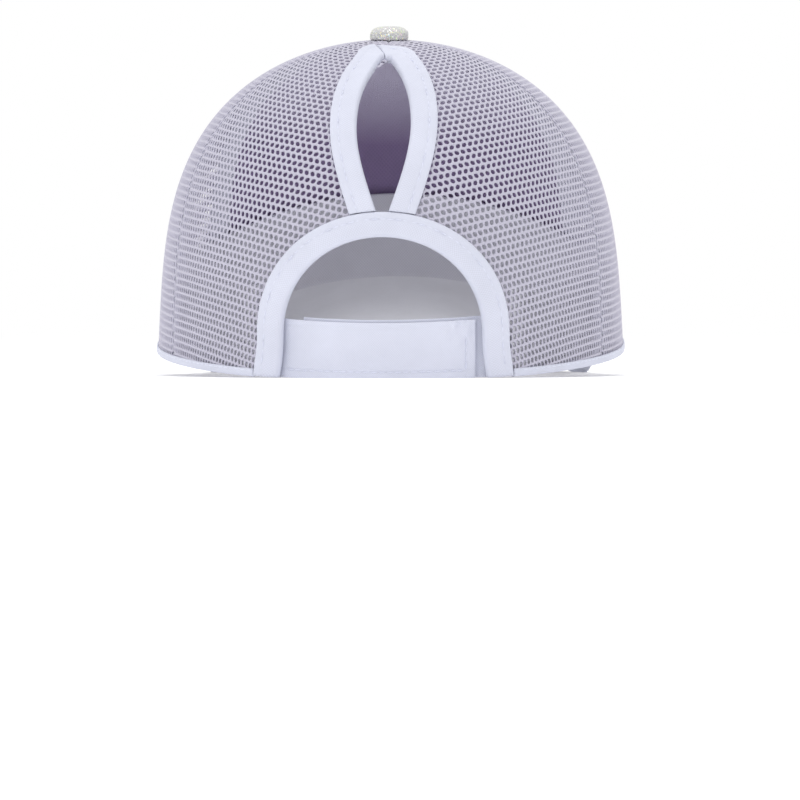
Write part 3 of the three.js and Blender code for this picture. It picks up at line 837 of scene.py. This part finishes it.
def net_panel(name, centre_turn, reach, lay, limits):
    """An open net between two edges.

    reach is how far the net's columns go to both sides of the centre turn, lay takes corners of the flat
    net to distances aside and up the crown, and limits gives the turns of both edges for a lift.
    """
    pitch, row = sizes().hole_pitch, sizes().row_pitch
    columns, rows = int((reach[1] - reach[0]) / pitch) + 1, int(NET_HEIGHT / row)
    i, j = (index.ravel() for index in np.meshgrid(np.arange(columns), np.arange(rows), indexing="ij"))
    parity = np.where(j % 2 == 0, 1, -1)
    cells = np.where((parity > 0)[:, None, None], net_cell(1)[None], net_cell(-1)[None])
    aside, length = lay(reach[0] + (i + 0.25 * (1 - parity))[:, None] * pitch + cells[:, :, 0],
                        (j[:, None] - ROWS_BELOW) * row + cells[:, :, 1])
    turn = np.full(aside.shape, centre_turn)
    start = np.interp(centre_turn, ROUND_TURNS, ROUND)
    for _ in range(TURN_PASSES):
        lift = lift_at(turn, length)
        share = np.maximum(width_share(turn, lift), 0.02)
        turn = np.interp(start + aside / share, ROUND, ROUND_TURNS)
    low = lift_at_height(turn, rim_height(turn))
    outside = (lift < low) | (lift > APEX_LIFT) | (length < 0)
    lift = np.clip(lift, low, APEX_LIFT)
    edges = limits(lift)
    outside |= (turn < edges[0]) | (turn > edges[1])
    turn = np.clip(turn, edges[0], edges[1])
    height = np.where(outside, 0.0, cells[:, :, 2])
    to_edge = np.minimum(turn - edges[0], edges[1] - turn) * pace(turn, lift)
    dive = -0.3 * np.exp(-(to_edge / 1.3) ** 2)
    placed = crown_point(turn, lift, height - NET_DEPTH + dive)
    faces = [[r * 8 + k, r * 8 + (k + 1) % 8, (r + 1) * 8 + (k + 1) % 8, (r + 1) * 8 + k]
             for r in range(4) for k in range(8)]
    keep = ~outside[:, np.array(faces)].all(axis=2)
    piece = copies(name, stand(placed), faces, keep)
    in_edit_mode(
        piece,
        lambda: bpy.ops.mesh.remove_doubles(threshold=WOVEN_TOGETHER * MM),
        lambda: bpy.ops.mesh.delete_loose(),
        lambda: bpy.ops.mesh.normals_make_consistent(inside=False))
    return piece


def lay_side(x, y):
    return x, y


def lay_back(x, y):
    """The back net lies aslant: its rows climb from the centre outwards and its columns lean inwards."""
    away = np.clip(x, -10, 100)
    aside = x - NET_SLANT * (1 - away / SLANT_FADE) * (y - SLANT_LEVEL)
    return -aside, y + NET_CLIMB * x - NET_DROOP * away * np.abs(away)


def half_gap(turn, lift):
    """Half a seam's gap as a turn."""
    return SEAM_GAP / 2 / np.maximum(pace(turn, lift), 2)


def side_limits(lift):
    front, back = front_seam(lift), back_seam(lift)
    return front + half_gap(front, lift), back - half_gap(back, lift)


def back_limits(lift):
    seam = back_seam(lift)
    edge = net_edge(length_at(np.full(lift.shape, math.pi), lift))
    edge = np.where(edge <= SEAM_GAP / 2, -0.1, edge)
    return seam + half_gap(seam, lift), back_turn(edge, lift)


def tip_limits(lift):
    """The corner of net left showing along the left tape at the slot's tip."""
    length = length_at(np.full(lift.shape, math.pi), lift)
    hidden = slot_half(np.minimum(length, SLOT_TOP)) + 1.2
    share = np.where(length > SLOT_TOP + 1.5, 0, np.clip((length - SLOT_TOP + 13) / 9, 0, 1))
    return back_turn(hidden, lift), back_turn(hidden - share * (hidden + 0.8), lift)


class CAP_OT_nets(bpy.types.Operator):
    """Makes the open nets of the sides and the back, and the corner of net at the slot's tip"""

    bl_idname = "cap.nets"
    bl_label = "Net panels"

    def execute(self, context):
        side = net_panel("side_net_left_yarn", SIDE_MIDDLE, SIDE_REACH, lay_side, side_limits)
        back = net_panel("back_net_left_yarn", math.pi, BACK_REACH, lay_back, back_limits)
        for piece, net in ((side, "side_net"), (back, "back_net")):
            finish(piece, "white_net", "net yarn", f"{net}_left")
            finish(mirrored(piece, f"{net}_right_yarn"), "white_net", None, f"{net}_right")
        tip = net_panel("slot_tip_net", math.pi, BACK_REACH, lay_back, tip_limits)
        finish(tip, "white_net", "net yarn")
        return {"FINISHED"}


def tape_place(seam, top):
    low = lift_at_height(seam(0), rim_height(seam(0)))
    start = np.array(seam(0))

    def place(u, v):
        lift = lift_up_line(np.full(u.shape, start), low, top, v)
        turn = seam(lift) + (u - 0.5) * TAPE_WIDTH / pace(seam(lift), lift)
        ridge = 0.12 * np.cos((u - 0.5) * 4 * math.pi)
        return crown_point(turn, lift, -0.95 + ridge)

    return place


class CAP_OT_seam_tapes(bpy.types.Operator):
    """Makes the tapes behind the crown's seams"""

    bl_idname = "cap.seam_tapes"
    bl_label = "Seam tapes"

    def execute(self, context):
        top = math.acos(TAPE_END / HALF_WIDTH)
        for name, seam in (("front_seam_tape", front_seam), ("back_seam_tape", back_seam)):
            tape = grid_piece(f"{name}_left_cloth", 12, 90, tape_place(seam, top), (TAPE_WIDTH, 130))
            thicken(tape, 0.8)
            finish(tape, "white_lining", "seam tape", f"{name}_left")
            finish(mirrored(tape, f"{name}_right_cloth"), "white_lining", None, f"{name}_right")
        return {"FINISHED"}


# A folded tape's two faces, as distances from the crown's surface, and the thickness of its ply
TAPE_OUTER, TAPE_INNER, TAPE_PLY = 1.15, -2.1, 0.7

# Points along a line that is sewn
LINE_STEPS = 400


def folded_section(width, stitch):
    """A folded tape's closed section: distances across from the fold and offsets from the crown."""
    reach = np.array([width, width - 0.12, width - 0.45, width - 1.1, width * 0.84, stitch + 0.9,
                      stitch + 0.4, stitch, stitch - 0.4, stitch - 0.9, width * 0.45, width * 0.3,
                      1.0, 0.7, 0.42, 0.2, 0.05, 0.0])
    middle = (TAPE_OUTER + TAPE_INNER) / 2
    half = (TAPE_OUTER - TAPE_INNER) / 2
    bend = np.where(reach < 1.0, np.sqrt(np.clip(1 - (1.0 - reach) ** 2, 0, 1)), 1)
    crown = 0.14 * np.sin(math.pi * reach / width) - 0.26 * np.exp(-((reach - stitch) / 0.42) ** 2)
    edge = -0.45 * np.clip(1 - (width - reach) / 0.45, 0, 1) ** 2
    outer = np.column_stack([reach, middle + half * bend + np.where(reach > 0.5, crown, 0) + edge])
    back = reach[::-1][1:]
    lip = 0.4 * np.clip(1 - (width - back) / 0.45, 0, 1) ** 2
    inner = np.column_stack([back, middle - half * bend[::-1][1:] + lip])
    low, high = TAPE_INNER + TAPE_PLY, TAPE_OUTER - TAPE_PLY
    inside = np.array([[width, low], [width * 0.5, low], [0.9, low],
                       [0.9, high], [width * 0.5, high], [width, high]])
    return np.concatenate([outer, inner, inside, outer[:1]])


def along_section(section, v):
    index = v * (len(section) - 1)
    steps = np.arange(len(section))
    return np.interp(index, steps, section[:, 0]), np.interp(index, steps, section[:, 1])


def puckers(distance, across, stitch):
    """Small waves along a sewn tape, deepest at its stitches."""
    wave = np.sin(distance * 0.93) * 0.6 + np.sin(distance * 0.41 + 1.3) * 0.4
    near = np.exp(-((across - stitch) / 2.2) ** 2)
    return sizes().pucker * wave * near


ARCH_ROUND = math.pi * ARCH_RADIUS
ARCH_PATH = 2 * ARCH_CENTRE + ARCH_ROUND


def arch_place(distance, across, offset):
    """A point on the arch's binding: along it from the wearer's left foot, and out from its edge."""
    left = distance < ARCH_CENTRE
    right = distance > ARCH_CENTRE + ARCH_ROUND
    length = np.where(left, distance, ARCH_PATH - distance)
    length = np.clip(length, 0, ARCH_CENTRE)
    side = np.where(left, 1.0, -1.0)
    lean = 2 * ARCH_FLARE * (1 - length / ARCH_CENTRE) / ARCH_CENTRE * smoothstep(length, 0, 4)
    foot_x = side * (arch_edge(length, 0) + across)
    turn = np.clip((distance - ARCH_CENTRE) / ARCH_RADIUS, 0, math.pi)
    radius = ARCH_RADIUS + across
    straight = left | right
    x = np.where(straight, foot_x, radius * np.cos(turn))
    up = np.where(straight, length + lean * across, ARCH_CENTRE + radius * np.sin(turn))
    return back_point(x, up, offset)


def sewn_line(place, start, end, across):
    """A line on a folded tape and the way out of the cloth along it."""
    distance = np.linspace(start, end, LINE_STEPS)
    aside = np.full(LINE_STEPS, across)
    offset = np.full(LINE_STEPS, TAPE_OUTER - 0.08)
    line = place(distance, aside, offset)
    return line, place(distance, aside, offset + 1.0) - line


class CAP_OT_arch_binding(bpy.types.Operator):
    """Makes the folded binding over the arch"""

    bl_idname = "cap.arch_binding"
    bl_label = "Arch binding"

    def execute(self, context):
        stitch = ARCH_WIDTH * 0.7
        section = folded_section(ARCH_WIDTH, stitch)

        def place(u, v):
            across, offset = along_section(section, v)
            distance = u * ARCH_PATH
            outer = np.where(offset > 0, 1.0, 0.0)
            return arch_place(distance, across, offset + outer * puckers(distance, across, stitch))

        binding = grid_piece("arch_binding_tape", 150, len(section) - 1, place, (ARCH_PATH, 40))
        weld(binding)
        finish(binding, "white_tape", "white tape", "arch_binding")
        line, outward = sewn_line(arch_place, 1, ARCH_PATH - 1, stitch)
        stitches("arch_binding_stitches", line, outward, "sewing thread", "white_tape")
        return {"FINISHED"}


SLOT_TOP_SLOPE = math.pi / 2 * SLOT_HALF / (SLOT_TOP - SLOT_MIDDLE)
TIP_LEAN = math.atan(SLOT_TOP_SLOPE)
TIP_EDGE = SLOT_TOP - SLOT_TIP * math.cos(TIP_LEAN) / SLOT_TOP_SLOPE
TIP_CENTRE = TIP_EDGE - SLOT_TIP * math.sin(TIP_LEAN)
EDGE_PATH = TIP_EDGE - SLOT_BOTTOM
FAN_PATH = 12.0


def slot_place(fan):
    """Places for one half of the slot's binding, whose end turns over the tip as far as fan."""

    def place(distance, share, offset):
        over = np.clip((distance - EDGE_PATH) / FAN_PATH, 0, 1)
        width = SLOT_WIDTH + (SLOT_WIDTH_TOP - SLOT_WIDTH) * over
        turn = TIP_LEAN + (fan - TIP_LEAN) * over
        radius = SLOT_TIP + share * width
        length = SLOT_BOTTOM + np.minimum(distance, EDGE_PATH)
        lean = np.arctan(-slot_slope(length))
        x = SEAM_GAP / 2 + slot_half(length) + share * width * np.cos(lean)
        along = length + share * width * np.sin(lean)
        outside = ARCH_RADIUS + ARCH_WIDTH
        floor = ARCH_CENTRE + np.sqrt(np.maximum(outside**2 - x * x, 0)) + SEAM_GAP
        along = np.maximum(along, floor)
        fanned = distance > EDGE_PATH
        x = np.where(fanned, SEAM_GAP / 2 + radius * np.cos(turn), x)
        along = np.where(fanned, TIP_CENTRE + radius * np.sin(turn), along)
        return back_point(x, along, offset)

    return place


class CAP_OT_slot_bindings(bpy.types.Operator):
    """Makes the two folded bindings of the ponytail slot, lapped over its tip"""

    bl_idname = "cap.slot_bindings"
    bl_label = "Slot bindings"

    def execute(self, context):
        stitch = SLOT_WIDTH * 0.68
        section = folded_section(SLOT_WIDTH, stitch)
        path = EDGE_PATH + FAN_PATH
        for side, fan, lift in (("left", math.radians(71), 0.5), ("right", math.radians(106), 0.0)):
            placed = slot_place(fan)

            def place(u, v):
                across, offset = along_section(section, v)
                distance = u * path
                over = smoothstep(distance, EDGE_PATH - 8, EDGE_PATH)
                outer = np.where(offset > 0, 1.0, 0.0)
                offset = offset + outer * puckers(distance + 5, across, stitch) + over * lift
                return placed(distance, across / SLOT_WIDTH, offset)

            binding = grid_piece(f"slot_binding_{side}_tape", 110, len(section) - 1, place, (path, 40))
            weld(binding)
            line, outward = sewn_line(placed, 2, path - 1, stitch / SLOT_WIDTH)
            if side == "right":
                mirror(binding)
                line, outward = line * [-1, 1, 1], outward * [-1, 1, 1]
            finish(binding, "white_tape", "white tape", f"slot_binding_{side}")
            stitches(f"slot_binding_{side}_stitches", line, outward, "sewing thread", "white_tape")
        return {"FINISHED"}


STRAP_END = ARCH_RADIUS + ARCH_FLARE + 8.0
STRAP_FREE = math.sqrt(ARCH_RADIUS**2 - (STRAP_HEIGHT - ARCH_CENTRE) ** 2) - 1.2


def strap_relief(x, up, height, wrinkled):
    """Fold line under the top edge, stitch groove over the lower edge, and wrinkles by the free end."""
    fold = -0.22 * np.exp(-((up - (height - 1.7)) / 0.35) ** 2)
    groove = -0.2 * np.exp(-((up - 2.6) / 0.45) ** 2)
    near_end = np.exp(-((x + STRAP_FREE - 5) / 5.0) ** 2) * smoothstep(up, 9, 16)
    wrinkle = wrinkled * 0.3 * near_end * (np.sin(0.95 * x + 0.7 * up) + 0.6 * np.sin(1.7 * x - 0.3 * up))
    sag = 0.22 * np.sin(0.11 * x + 0.4) * np.sin(math.pi * up / height)
    end = wrinkled * -0.25 * np.exp(-((x + STRAP_FREE - 3.2) / 0.4) ** 2)
    return fold + groove + wrinkle + sag + end


def strap_line(x_from, x_to, up_from, up_to):
    share = np.linspace(0, 1, 260)
    x, up = x_from + (x_to - x_from) * share, up_from + (up_to - up_from) * share
    offset = LINER_OUTER - 0.02
    line = back_point(x, up, offset)
    return line, back_point(x, up, offset + 1.0) - line


class CAP_OT_straps(bpy.types.Operator):
    """Makes the two lapped parts of the closing strap"""

    bl_idname = "cap.straps"
    bl_label = "Closing strap"

    def execute(self, context):
        def outer_place(u, v):
            x = STRAP_END + (-STRAP_FREE - STRAP_END) * u
            up = v * STRAP_HEIGHT
            return back_point(x, up, LINER_OUTER + strap_relief(x, up, STRAP_HEIGHT, 1.0))

        height = STRAP_HEIGHT + 1.0
        step_in = -STRAP_FREE - SEAM_GAP
        behind = LINER_OUTER - STRAP_WALL - SEAM_GAP

        def inner_offset(x):
            return behind + (LINER_OUTER - behind) * smoothstep(-x, -step_in + 0.5, -step_in + 4.0)

        def inner_place(u, v):
            start = STRAP_FREE - 4.0
            x = start + (-STRAP_END - start) * u
            up = v * height
            return back_point(x, up, inner_offset(x) + strap_relief(x, up, height, 0.0))

        for name, place, size in (("strap_outer", outer_place, (76, STRAP_HEIGHT)),
                                  ("strap_inner", inner_place, (70, height))):
            strap = grid_piece(f"{name}_tape", 150, 40, place, size)
            thicken(strap, STRAP_WALL)
            soften(strap, 0.25)
            finish(strap, "white_tape", "white tape", name)

        end = -STRAP_FREE + 3.2
        for index, row in enumerate(((34.0, end, 2.6, 2.6), (end, end, 2.6, STRAP_HEIGHT - 2))):
            line, outward = strap_line(*row)
            stitches(f"strap_stitches_{index + 1}", line, outward, "sewing thread", "white_tape")
        return {"FINISHED"}


BAND_TURN = float(back_turn(np.array(ARCH_RADIUS + ARCH_FLARE + ARCH_WIDTH + SEAM_GAP), np.array(0.0)))


class CAP_OT_sweatband(bpy.types.Operator):
    """Makes the sweatband inside the rim and the folded hem under the nets"""

    bl_idname = "cap.sweatband"
    bl_label = "Sweatband and hem"

    def execute(self, context):
        def band_place(u, v):
            turn = BAND_TURN * (2 * u - 1)
            beside = smoothstep(np.abs(turn), math.radians(VISOR_TURN), math.radians(VISOR_TURN + 12))
            below = 2.6 * (1 - beside)
            up = v * (BAND_HEIGHT + below) - below
            relief = -0.25 * np.exp(-((up - (BAND_HEIGHT - 2.4)) / 0.5) ** 2)
            relief = relief + 0.15 * np.sin(turn * 31) * np.sin(math.pi * v)
            relief = relief + 1.9 * smoothstep(np.abs(turn), BAND_TURN - 0.14, BAND_TURN - 0.07)
            lift = lift_at_height(turn, rim_height(turn) + up)
            return crown_point(turn, lift, LINER_OUTER + relief - 0.1)

        band = grid_piece("sweatband_cloth", 300, 20, band_place, (420, BAND_HEIGHT))
        thicken(band, BAND_WALL - 0.1)
        soften(band, 0.3)
        finish(band, "white_lining", "white lining", "sweatband")

        start, end = math.radians(VISOR_TURN) + 0.01, BAND_TURN
        section = np.array([[2.4, 0.1], [2.3, 0.32], [1.9, 0.42], [1.2, 0.46], [0.5, 0.44], [0.0, 0.36],
                            [-0.3, 0.1], [-0.42, -0.4], [-0.42, -1.0], [-0.3, -1.4], [0.2, -1.65],
                            [1.2, -1.7], [2.4, -1.65], [2.5, -1.4], [2.4, -1.1], [0.1, -1.1], [0.1, -0.05],
                            [2.4, -0.05], [2.4, 0.1]])

        def hem_place(u, v):
            up, offset = along_section(section, v)
            turn = start + (end - start) * u
            lift = lift_at_height(turn, rim_height(turn) + np.maximum(up, 0))
            place = crown_point(turn, lift, offset + 0.05 * np.sin(turn * 90))
            place[:, 2] += np.minimum(up, 0)
            return place

        hem = grid_piece("rim_hem_left", 150, len(section) - 1, hem_place, (150, 12))
        weld(hem)
        finish(hem, "white_tape", "white tape")
        finish(mirrored(hem, "rim_hem_right"), "white_tape", None)
        turn = np.linspace(start + 0.02, end - 0.02, LINE_STEPS)
        lift = lift_at_height(turn, rim_height(turn) + 1.7)
        line, outward = crown_point(turn, lift, 0.4), crown_normal(turn, lift)
        for side, sign in (("left", [1, 1, 1]), ("right", [-1, 1, 1])):
            stitches(f"rim_stitches_{side}", line * sign, outward * sign, "sewing thread", "white_tape")
        return {"FINISHED"}


def visor_plan(across, out):
    turn = across * math.radians(VISOR_TURN)
    in_x = (HALF_WIDTH + SEAM_GAP) * np.sin(turn)
    in_forward = (CROWN_FRONT + SEAM_GAP) * np.cos(turn)
    angle = math.pi / 2 * (1 - np.abs(across))
    power = 2 / VISOR_SQUARENESS
    out_x = np.sign(across) * VISOR_HALF_WIDTH * np.cos(angle) ** power
    depth = CROWN_FRONT + VISOR_REACH - VISOR_SHOULDER
    out_forward = VISOR_SHOULDER + depth * np.sin(angle) ** power
    return in_x + (out_x - in_x) * out, in_forward + (out_forward - in_forward) * out


def evenly_across(u):
    """Shares of the visor's width, denser towards its two corners."""
    return np.sin((2 * u - 1) * math.pi / 2)


def visor_outline():
    """The visor's free edge in plan, from the wearer's right to left, with the way in from each point."""
    across = np.sin(np.linspace(-math.pi / 2, math.pi / 2, 600))
    x, forward = visor_plan(across, np.ones(len(across)))
    side = visor_plan(np.ones(12), np.linspace(0.02, 0.98, 12))
    x = np.concatenate([-side[0], x, side[0][::-1]])
    forward = np.concatenate([side[1], forward, side[1][::-1]])
    line = np.column_stack([x, forward])
    step = np.gradient(line, axis=0)
    inward = np.column_stack([step[:, 1], -step[:, 0]])
    inward /= np.linalg.norm(inward, axis=1)[:, None]
    along = np.concatenate([[0], np.cumsum(np.linalg.norm(np.diff(line, axis=0), axis=1))])
    return line, inward, along


class CAP_OT_visor(bpy.types.Operator):
    """Makes the glitter visor, its lining and the piping along their edge"""

    bl_idname = "cap.visor"
    bl_label = "Visor"

    def execute(self, context):
        out = np.concatenate([np.linspace(0, 0.97, 40), [0.985, 0.995, 1.0, 1.0, 0.995, 0.985],
                              np.linspace(0.97, 0, 24)])
        offset = np.concatenate([np.zeros(40), [-0.02, -0.12, -0.4, -1.5, -1.75, -1.88],
                                 np.full(24, -VISOR_WALL)])
        section = np.column_stack([out, offset])
        section = np.concatenate([section, section[:1]])

        def top_place(u, v):
            share, drop = along_section(section, v)
            x, forward = visor_plan(evenly_across(u), share)
            ridge = 0.35 * np.exp(-((share - 0.955) / 0.012) ** 2) * (drop > -0.5)
            return visor_point(x, forward, drop + ridge)

        top = grid_piece("visor_top_cloth", 200, len(section) - 1, top_place, (190, 130))
        weld(top)
        finish(top, "glitter_cloth", "glitter cloth", "visor_top")

        def under_place(u, v):
            x, forward = visor_plan(evenly_across(u), v * 0.992)
            return visor_point(x, forward, -VISOR_WALL - SEAM_GAP - VISOR_UNDER_WALL)

        under = grid_piece("visor_under_cloth", 200, 40, under_place, (190, 65))
        thicken(under, VISOR_UNDER_WALL)
        finish(under, "white_lining", "white lining", "visor_under")

        line, inward, along = visor_outline()
        piping = np.array([[1.4, -2.1], [0.5, -2.1], [0.1, -2.15], [-0.2, -2.3], [-0.32, -2.6],
                           [-0.28, -2.95], [-0.1, -3.22], [0.25, -3.4], [1.0, -3.5], [1.9, -3.48],
                           [2.2, -3.35], [2.1, -3.2], [1.4, -3.1], [1.4, -2.1]])

        def edge_place(u, v):
            inside, height = along_section(piping, v)
            distance = u * along[-1]
            x, forward = (np.interp(distance, along, line[:, k]) for k in (0, 1))
            ix, iy = (np.interp(distance, along, inward[:, k]) for k in (0, 1))
            wave = 0.09 * np.sin(distance * 1.25) + 0.06 * np.sin(distance * 2.9 + 1)
            inside = inside + wave * (inside < 0)
            return visor_point(x + ix * inside, forward + iy * inside, height)

        edge = grid_piece("visor_edge_tape", 420, len(piping) - 1, edge_place, (along[-1], 8))
        weld(edge)
        finish(edge, "white_tape", "white tape")
        return {"FINISHED"}


class CAP_OT_button(bpy.types.Operator):
    """Makes the cloth-covered button"""

    bl_idname = "cap.button"
    bl_label = "Button"

    def execute(self, context):
        angle = np.linspace(0, math.pi / 2, 9)
        profile = np.concatenate([
            [[0.0, -3.2], [1.2, -3.2], [1.7, -3.0], [1.7, -0.5], [2.2, -0.2], [5.6, -0.25], [6.5, -0.2],
             [6.8, 0.05], [6.9, 0.45], [6.9, 1.6]],
            np.column_stack([2.9 + 4.0 * np.cos(angle), 1.75 + 2.8 * np.sin(angle)]),
            [[1.5, 4.66], [0.0, 4.7]]])

        def place(u, v):
            radius, up = along_section(profile, v)
            turn = u * 2 * math.pi
            gather = 1 + 0.025 * np.cos(turn * 9) * smoothstep(2.6 - up, 0, 2.0) * (radius > 3)
            out = radius * gather
            return np.stack([out * np.cos(turn), APEX_SETBACK + out * np.sin(turn), CROWN_HEIGHT + up], -1)

        button = grid_piece("button_cloth", 72, len(profile) - 1, place, (43, 14))
        weld(button)
        finish(button, "glitter_cloth", "glitter cloth", "button")
        return {"FINISHED"}


# The camera behind the cap, and what the photograph's perspective gives, in pixels
SENSOR_WIDTH = 36.0
CAMERA_HEIGHT = 15.0
CAMERA_DISTANCE = 1300.0
CAMERA_ROUND = 1.8
FOCAL_PIXELS = 3549.0
HORIZON_ROW, MIDDLE_COLUMN, IMAGE_SIZE = 334.0, 391.0, 800.0
WHITE = (1, 1, 1, 1)


def area_light(name, place, width, power):
    """A square light of a width in metres, aimed at the middle of the cap."""
    light = bpy.data.lights.new(name, "AREA")
    light.shape = "SQUARE"
    light.size, light.energy = width, power
    lamp = bpy.data.objects.new(name, light)
    lamp.location = place
    lamp.rotation_mode = "QUATERNION"
    lamp.rotation_quaternion = (Vector((0, 0.03, 0.06)) - Vector(place)).to_track_quat("-Z", "Y")
    bpy.context.scene.collection.objects.link(lamp)


class CAP_OT_stage(bpy.types.Operator):
    """Sets the floor, the soft light and the camera"""

    bl_idname = "cap.stage"
    bl_label = "Floor, light and camera"

    def execute(self, context):
        deselect()
        bpy.ops.mesh.primitive_plane_add(size=60, location=(0, 0, 0))
        floor = bpy.context.object
        floor.name = "studio_floor"
        material = bpy.data.materials.new("studio floor")
        material.use_nodes = True
        tree = material.node_tree
        feed(tree, tree.nodes["Principled BSDF"], {
            "Base Color": (0.97, 0.97, 0.97, 1), "Roughness": 1.0, "Specular IOR Level": 0.0,
            "Emission Color": WHITE, "Emission Strength": 0.17})
        floor.data.materials.append(material)

        world = bpy.data.worlds.new("studio")
        context.scene.world = world
        world.use_nodes = True
        tree = world.node_tree
        light = tree.nodes["Background"]
        feed(tree, light, {"Color": WHITE, "Strength": 0.86})
        seen = node(tree, "ShaderNodeBackground", (0, -200), {"Color": WHITE, "Strength": 1.0})
        path = node(tree, "ShaderNodeLightPath", (-300, 200))
        choose = node(tree, "ShaderNodeMixShader", (200, 0),
                      {0: path.outputs["Is Camera Ray"], 1: light.outputs[0], 2: seen.outputs[0]})
        feed(tree, tree.nodes["World Output"], {0: choose.outputs[0]})

        area_light("light_back", (0.9, 1.6, 1.3), 1.2, 4)
        area_light("light_front", (-0.9, -1.6, 1.4), 1.2, 4.5)
        area_light("light_top", (0.1, 0.0, 2.0), 1.6, 13)

        camera = bpy.data.cameras.new("camera")
        camera.sensor_width = SENSOR_WIDTH
        camera.lens = SENSOR_WIDTH * FOCAL_PIXELS / IMAGE_SIZE
        camera.clip_start, camera.clip_end = 0.05, 100
        viewer = bpy.data.objects.new("camera", camera)
        turn = math.radians(CAMERA_ROUND)
        back = Vector((-math.sin(turn), math.cos(turn), 0))
        right = Vector((-math.cos(turn), -math.sin(turn), 0))
        place = (Vector((0, STAND_SHIFT, CAMERA_HEIGHT)) + back * CAMERA_DISTANCE) * MM
        aim = (right * (IMAGE_SIZE / 2 - MIDDLE_COLUMN) / FOCAL_PIXELS - back
               - Vector((0, 0, (IMAGE_SIZE / 2 - HORIZON_ROW) / FOCAL_PIXELS)))
        viewer.location = place
        viewer.rotation_mode = "QUATERNION"
        viewer.rotation_quaternion = aim.to_track_quat("-Z", "Y")
        context.scene.collection.objects.link(viewer)
        context.scene.camera = viewer
        context.scene.view_settings.view_transform = "Standard"
        return {"FINISHED"}


OPERATORS = (
    CAP_OT_front_panel, CAP_OT_nets, CAP_OT_seam_tapes, CAP_OT_arch_binding, CAP_OT_slot_bindings,
    CAP_OT_straps, CAP_OT_sweatband, CAP_OT_visor, CAP_OT_button, CAP_OT_stage,
)


class CAP_PT_panel(bpy.types.Panel):
    """Lists the cap's pieces, sizes and colours"""

    bl_label = "Ponytail cap"
    bl_idname = "CAP_PT_panel"
    bl_space_type = "VIEW_3D"
    bl_region_type = "UI"
    bl_category = "Cap"

    def draw(self, context):
        for group_of_values in (context.scene.cap_sizes, context.scene.cap_colours):
            for name in group_of_values.bl_rna.properties.keys():
                if name not in ("rna_type", "name"):
                    self.layout.prop(group_of_values, name)
        for operator in OPERATORS:
            self.layout.operator(operator.bl_idname)


CLASSES = (CapSizes, CapColours, *OPERATORS, CAP_PT_panel)


def register():
    for cls in CLASSES:
        bpy.utils.register_class(cls)
    bpy.types.Scene.cap_sizes = bpy.props.PointerProperty(type=CapSizes)
    bpy.types.Scene.cap_colours = bpy.props.PointerProperty(type=CapColours)


def unregister():
    del bpy.types.Scene.cap_colours
    del bpy.types.Scene.cap_sizes
    for cls in reversed(CLASSES):
        bpy.utils.unregister_class(cls)


def main():
    register()
    for operator in OPERATORS:
        getattr(bpy.ops.cap, operator.bl_idname.split(".")[1])()


if __name__ == "__main__":
    main()
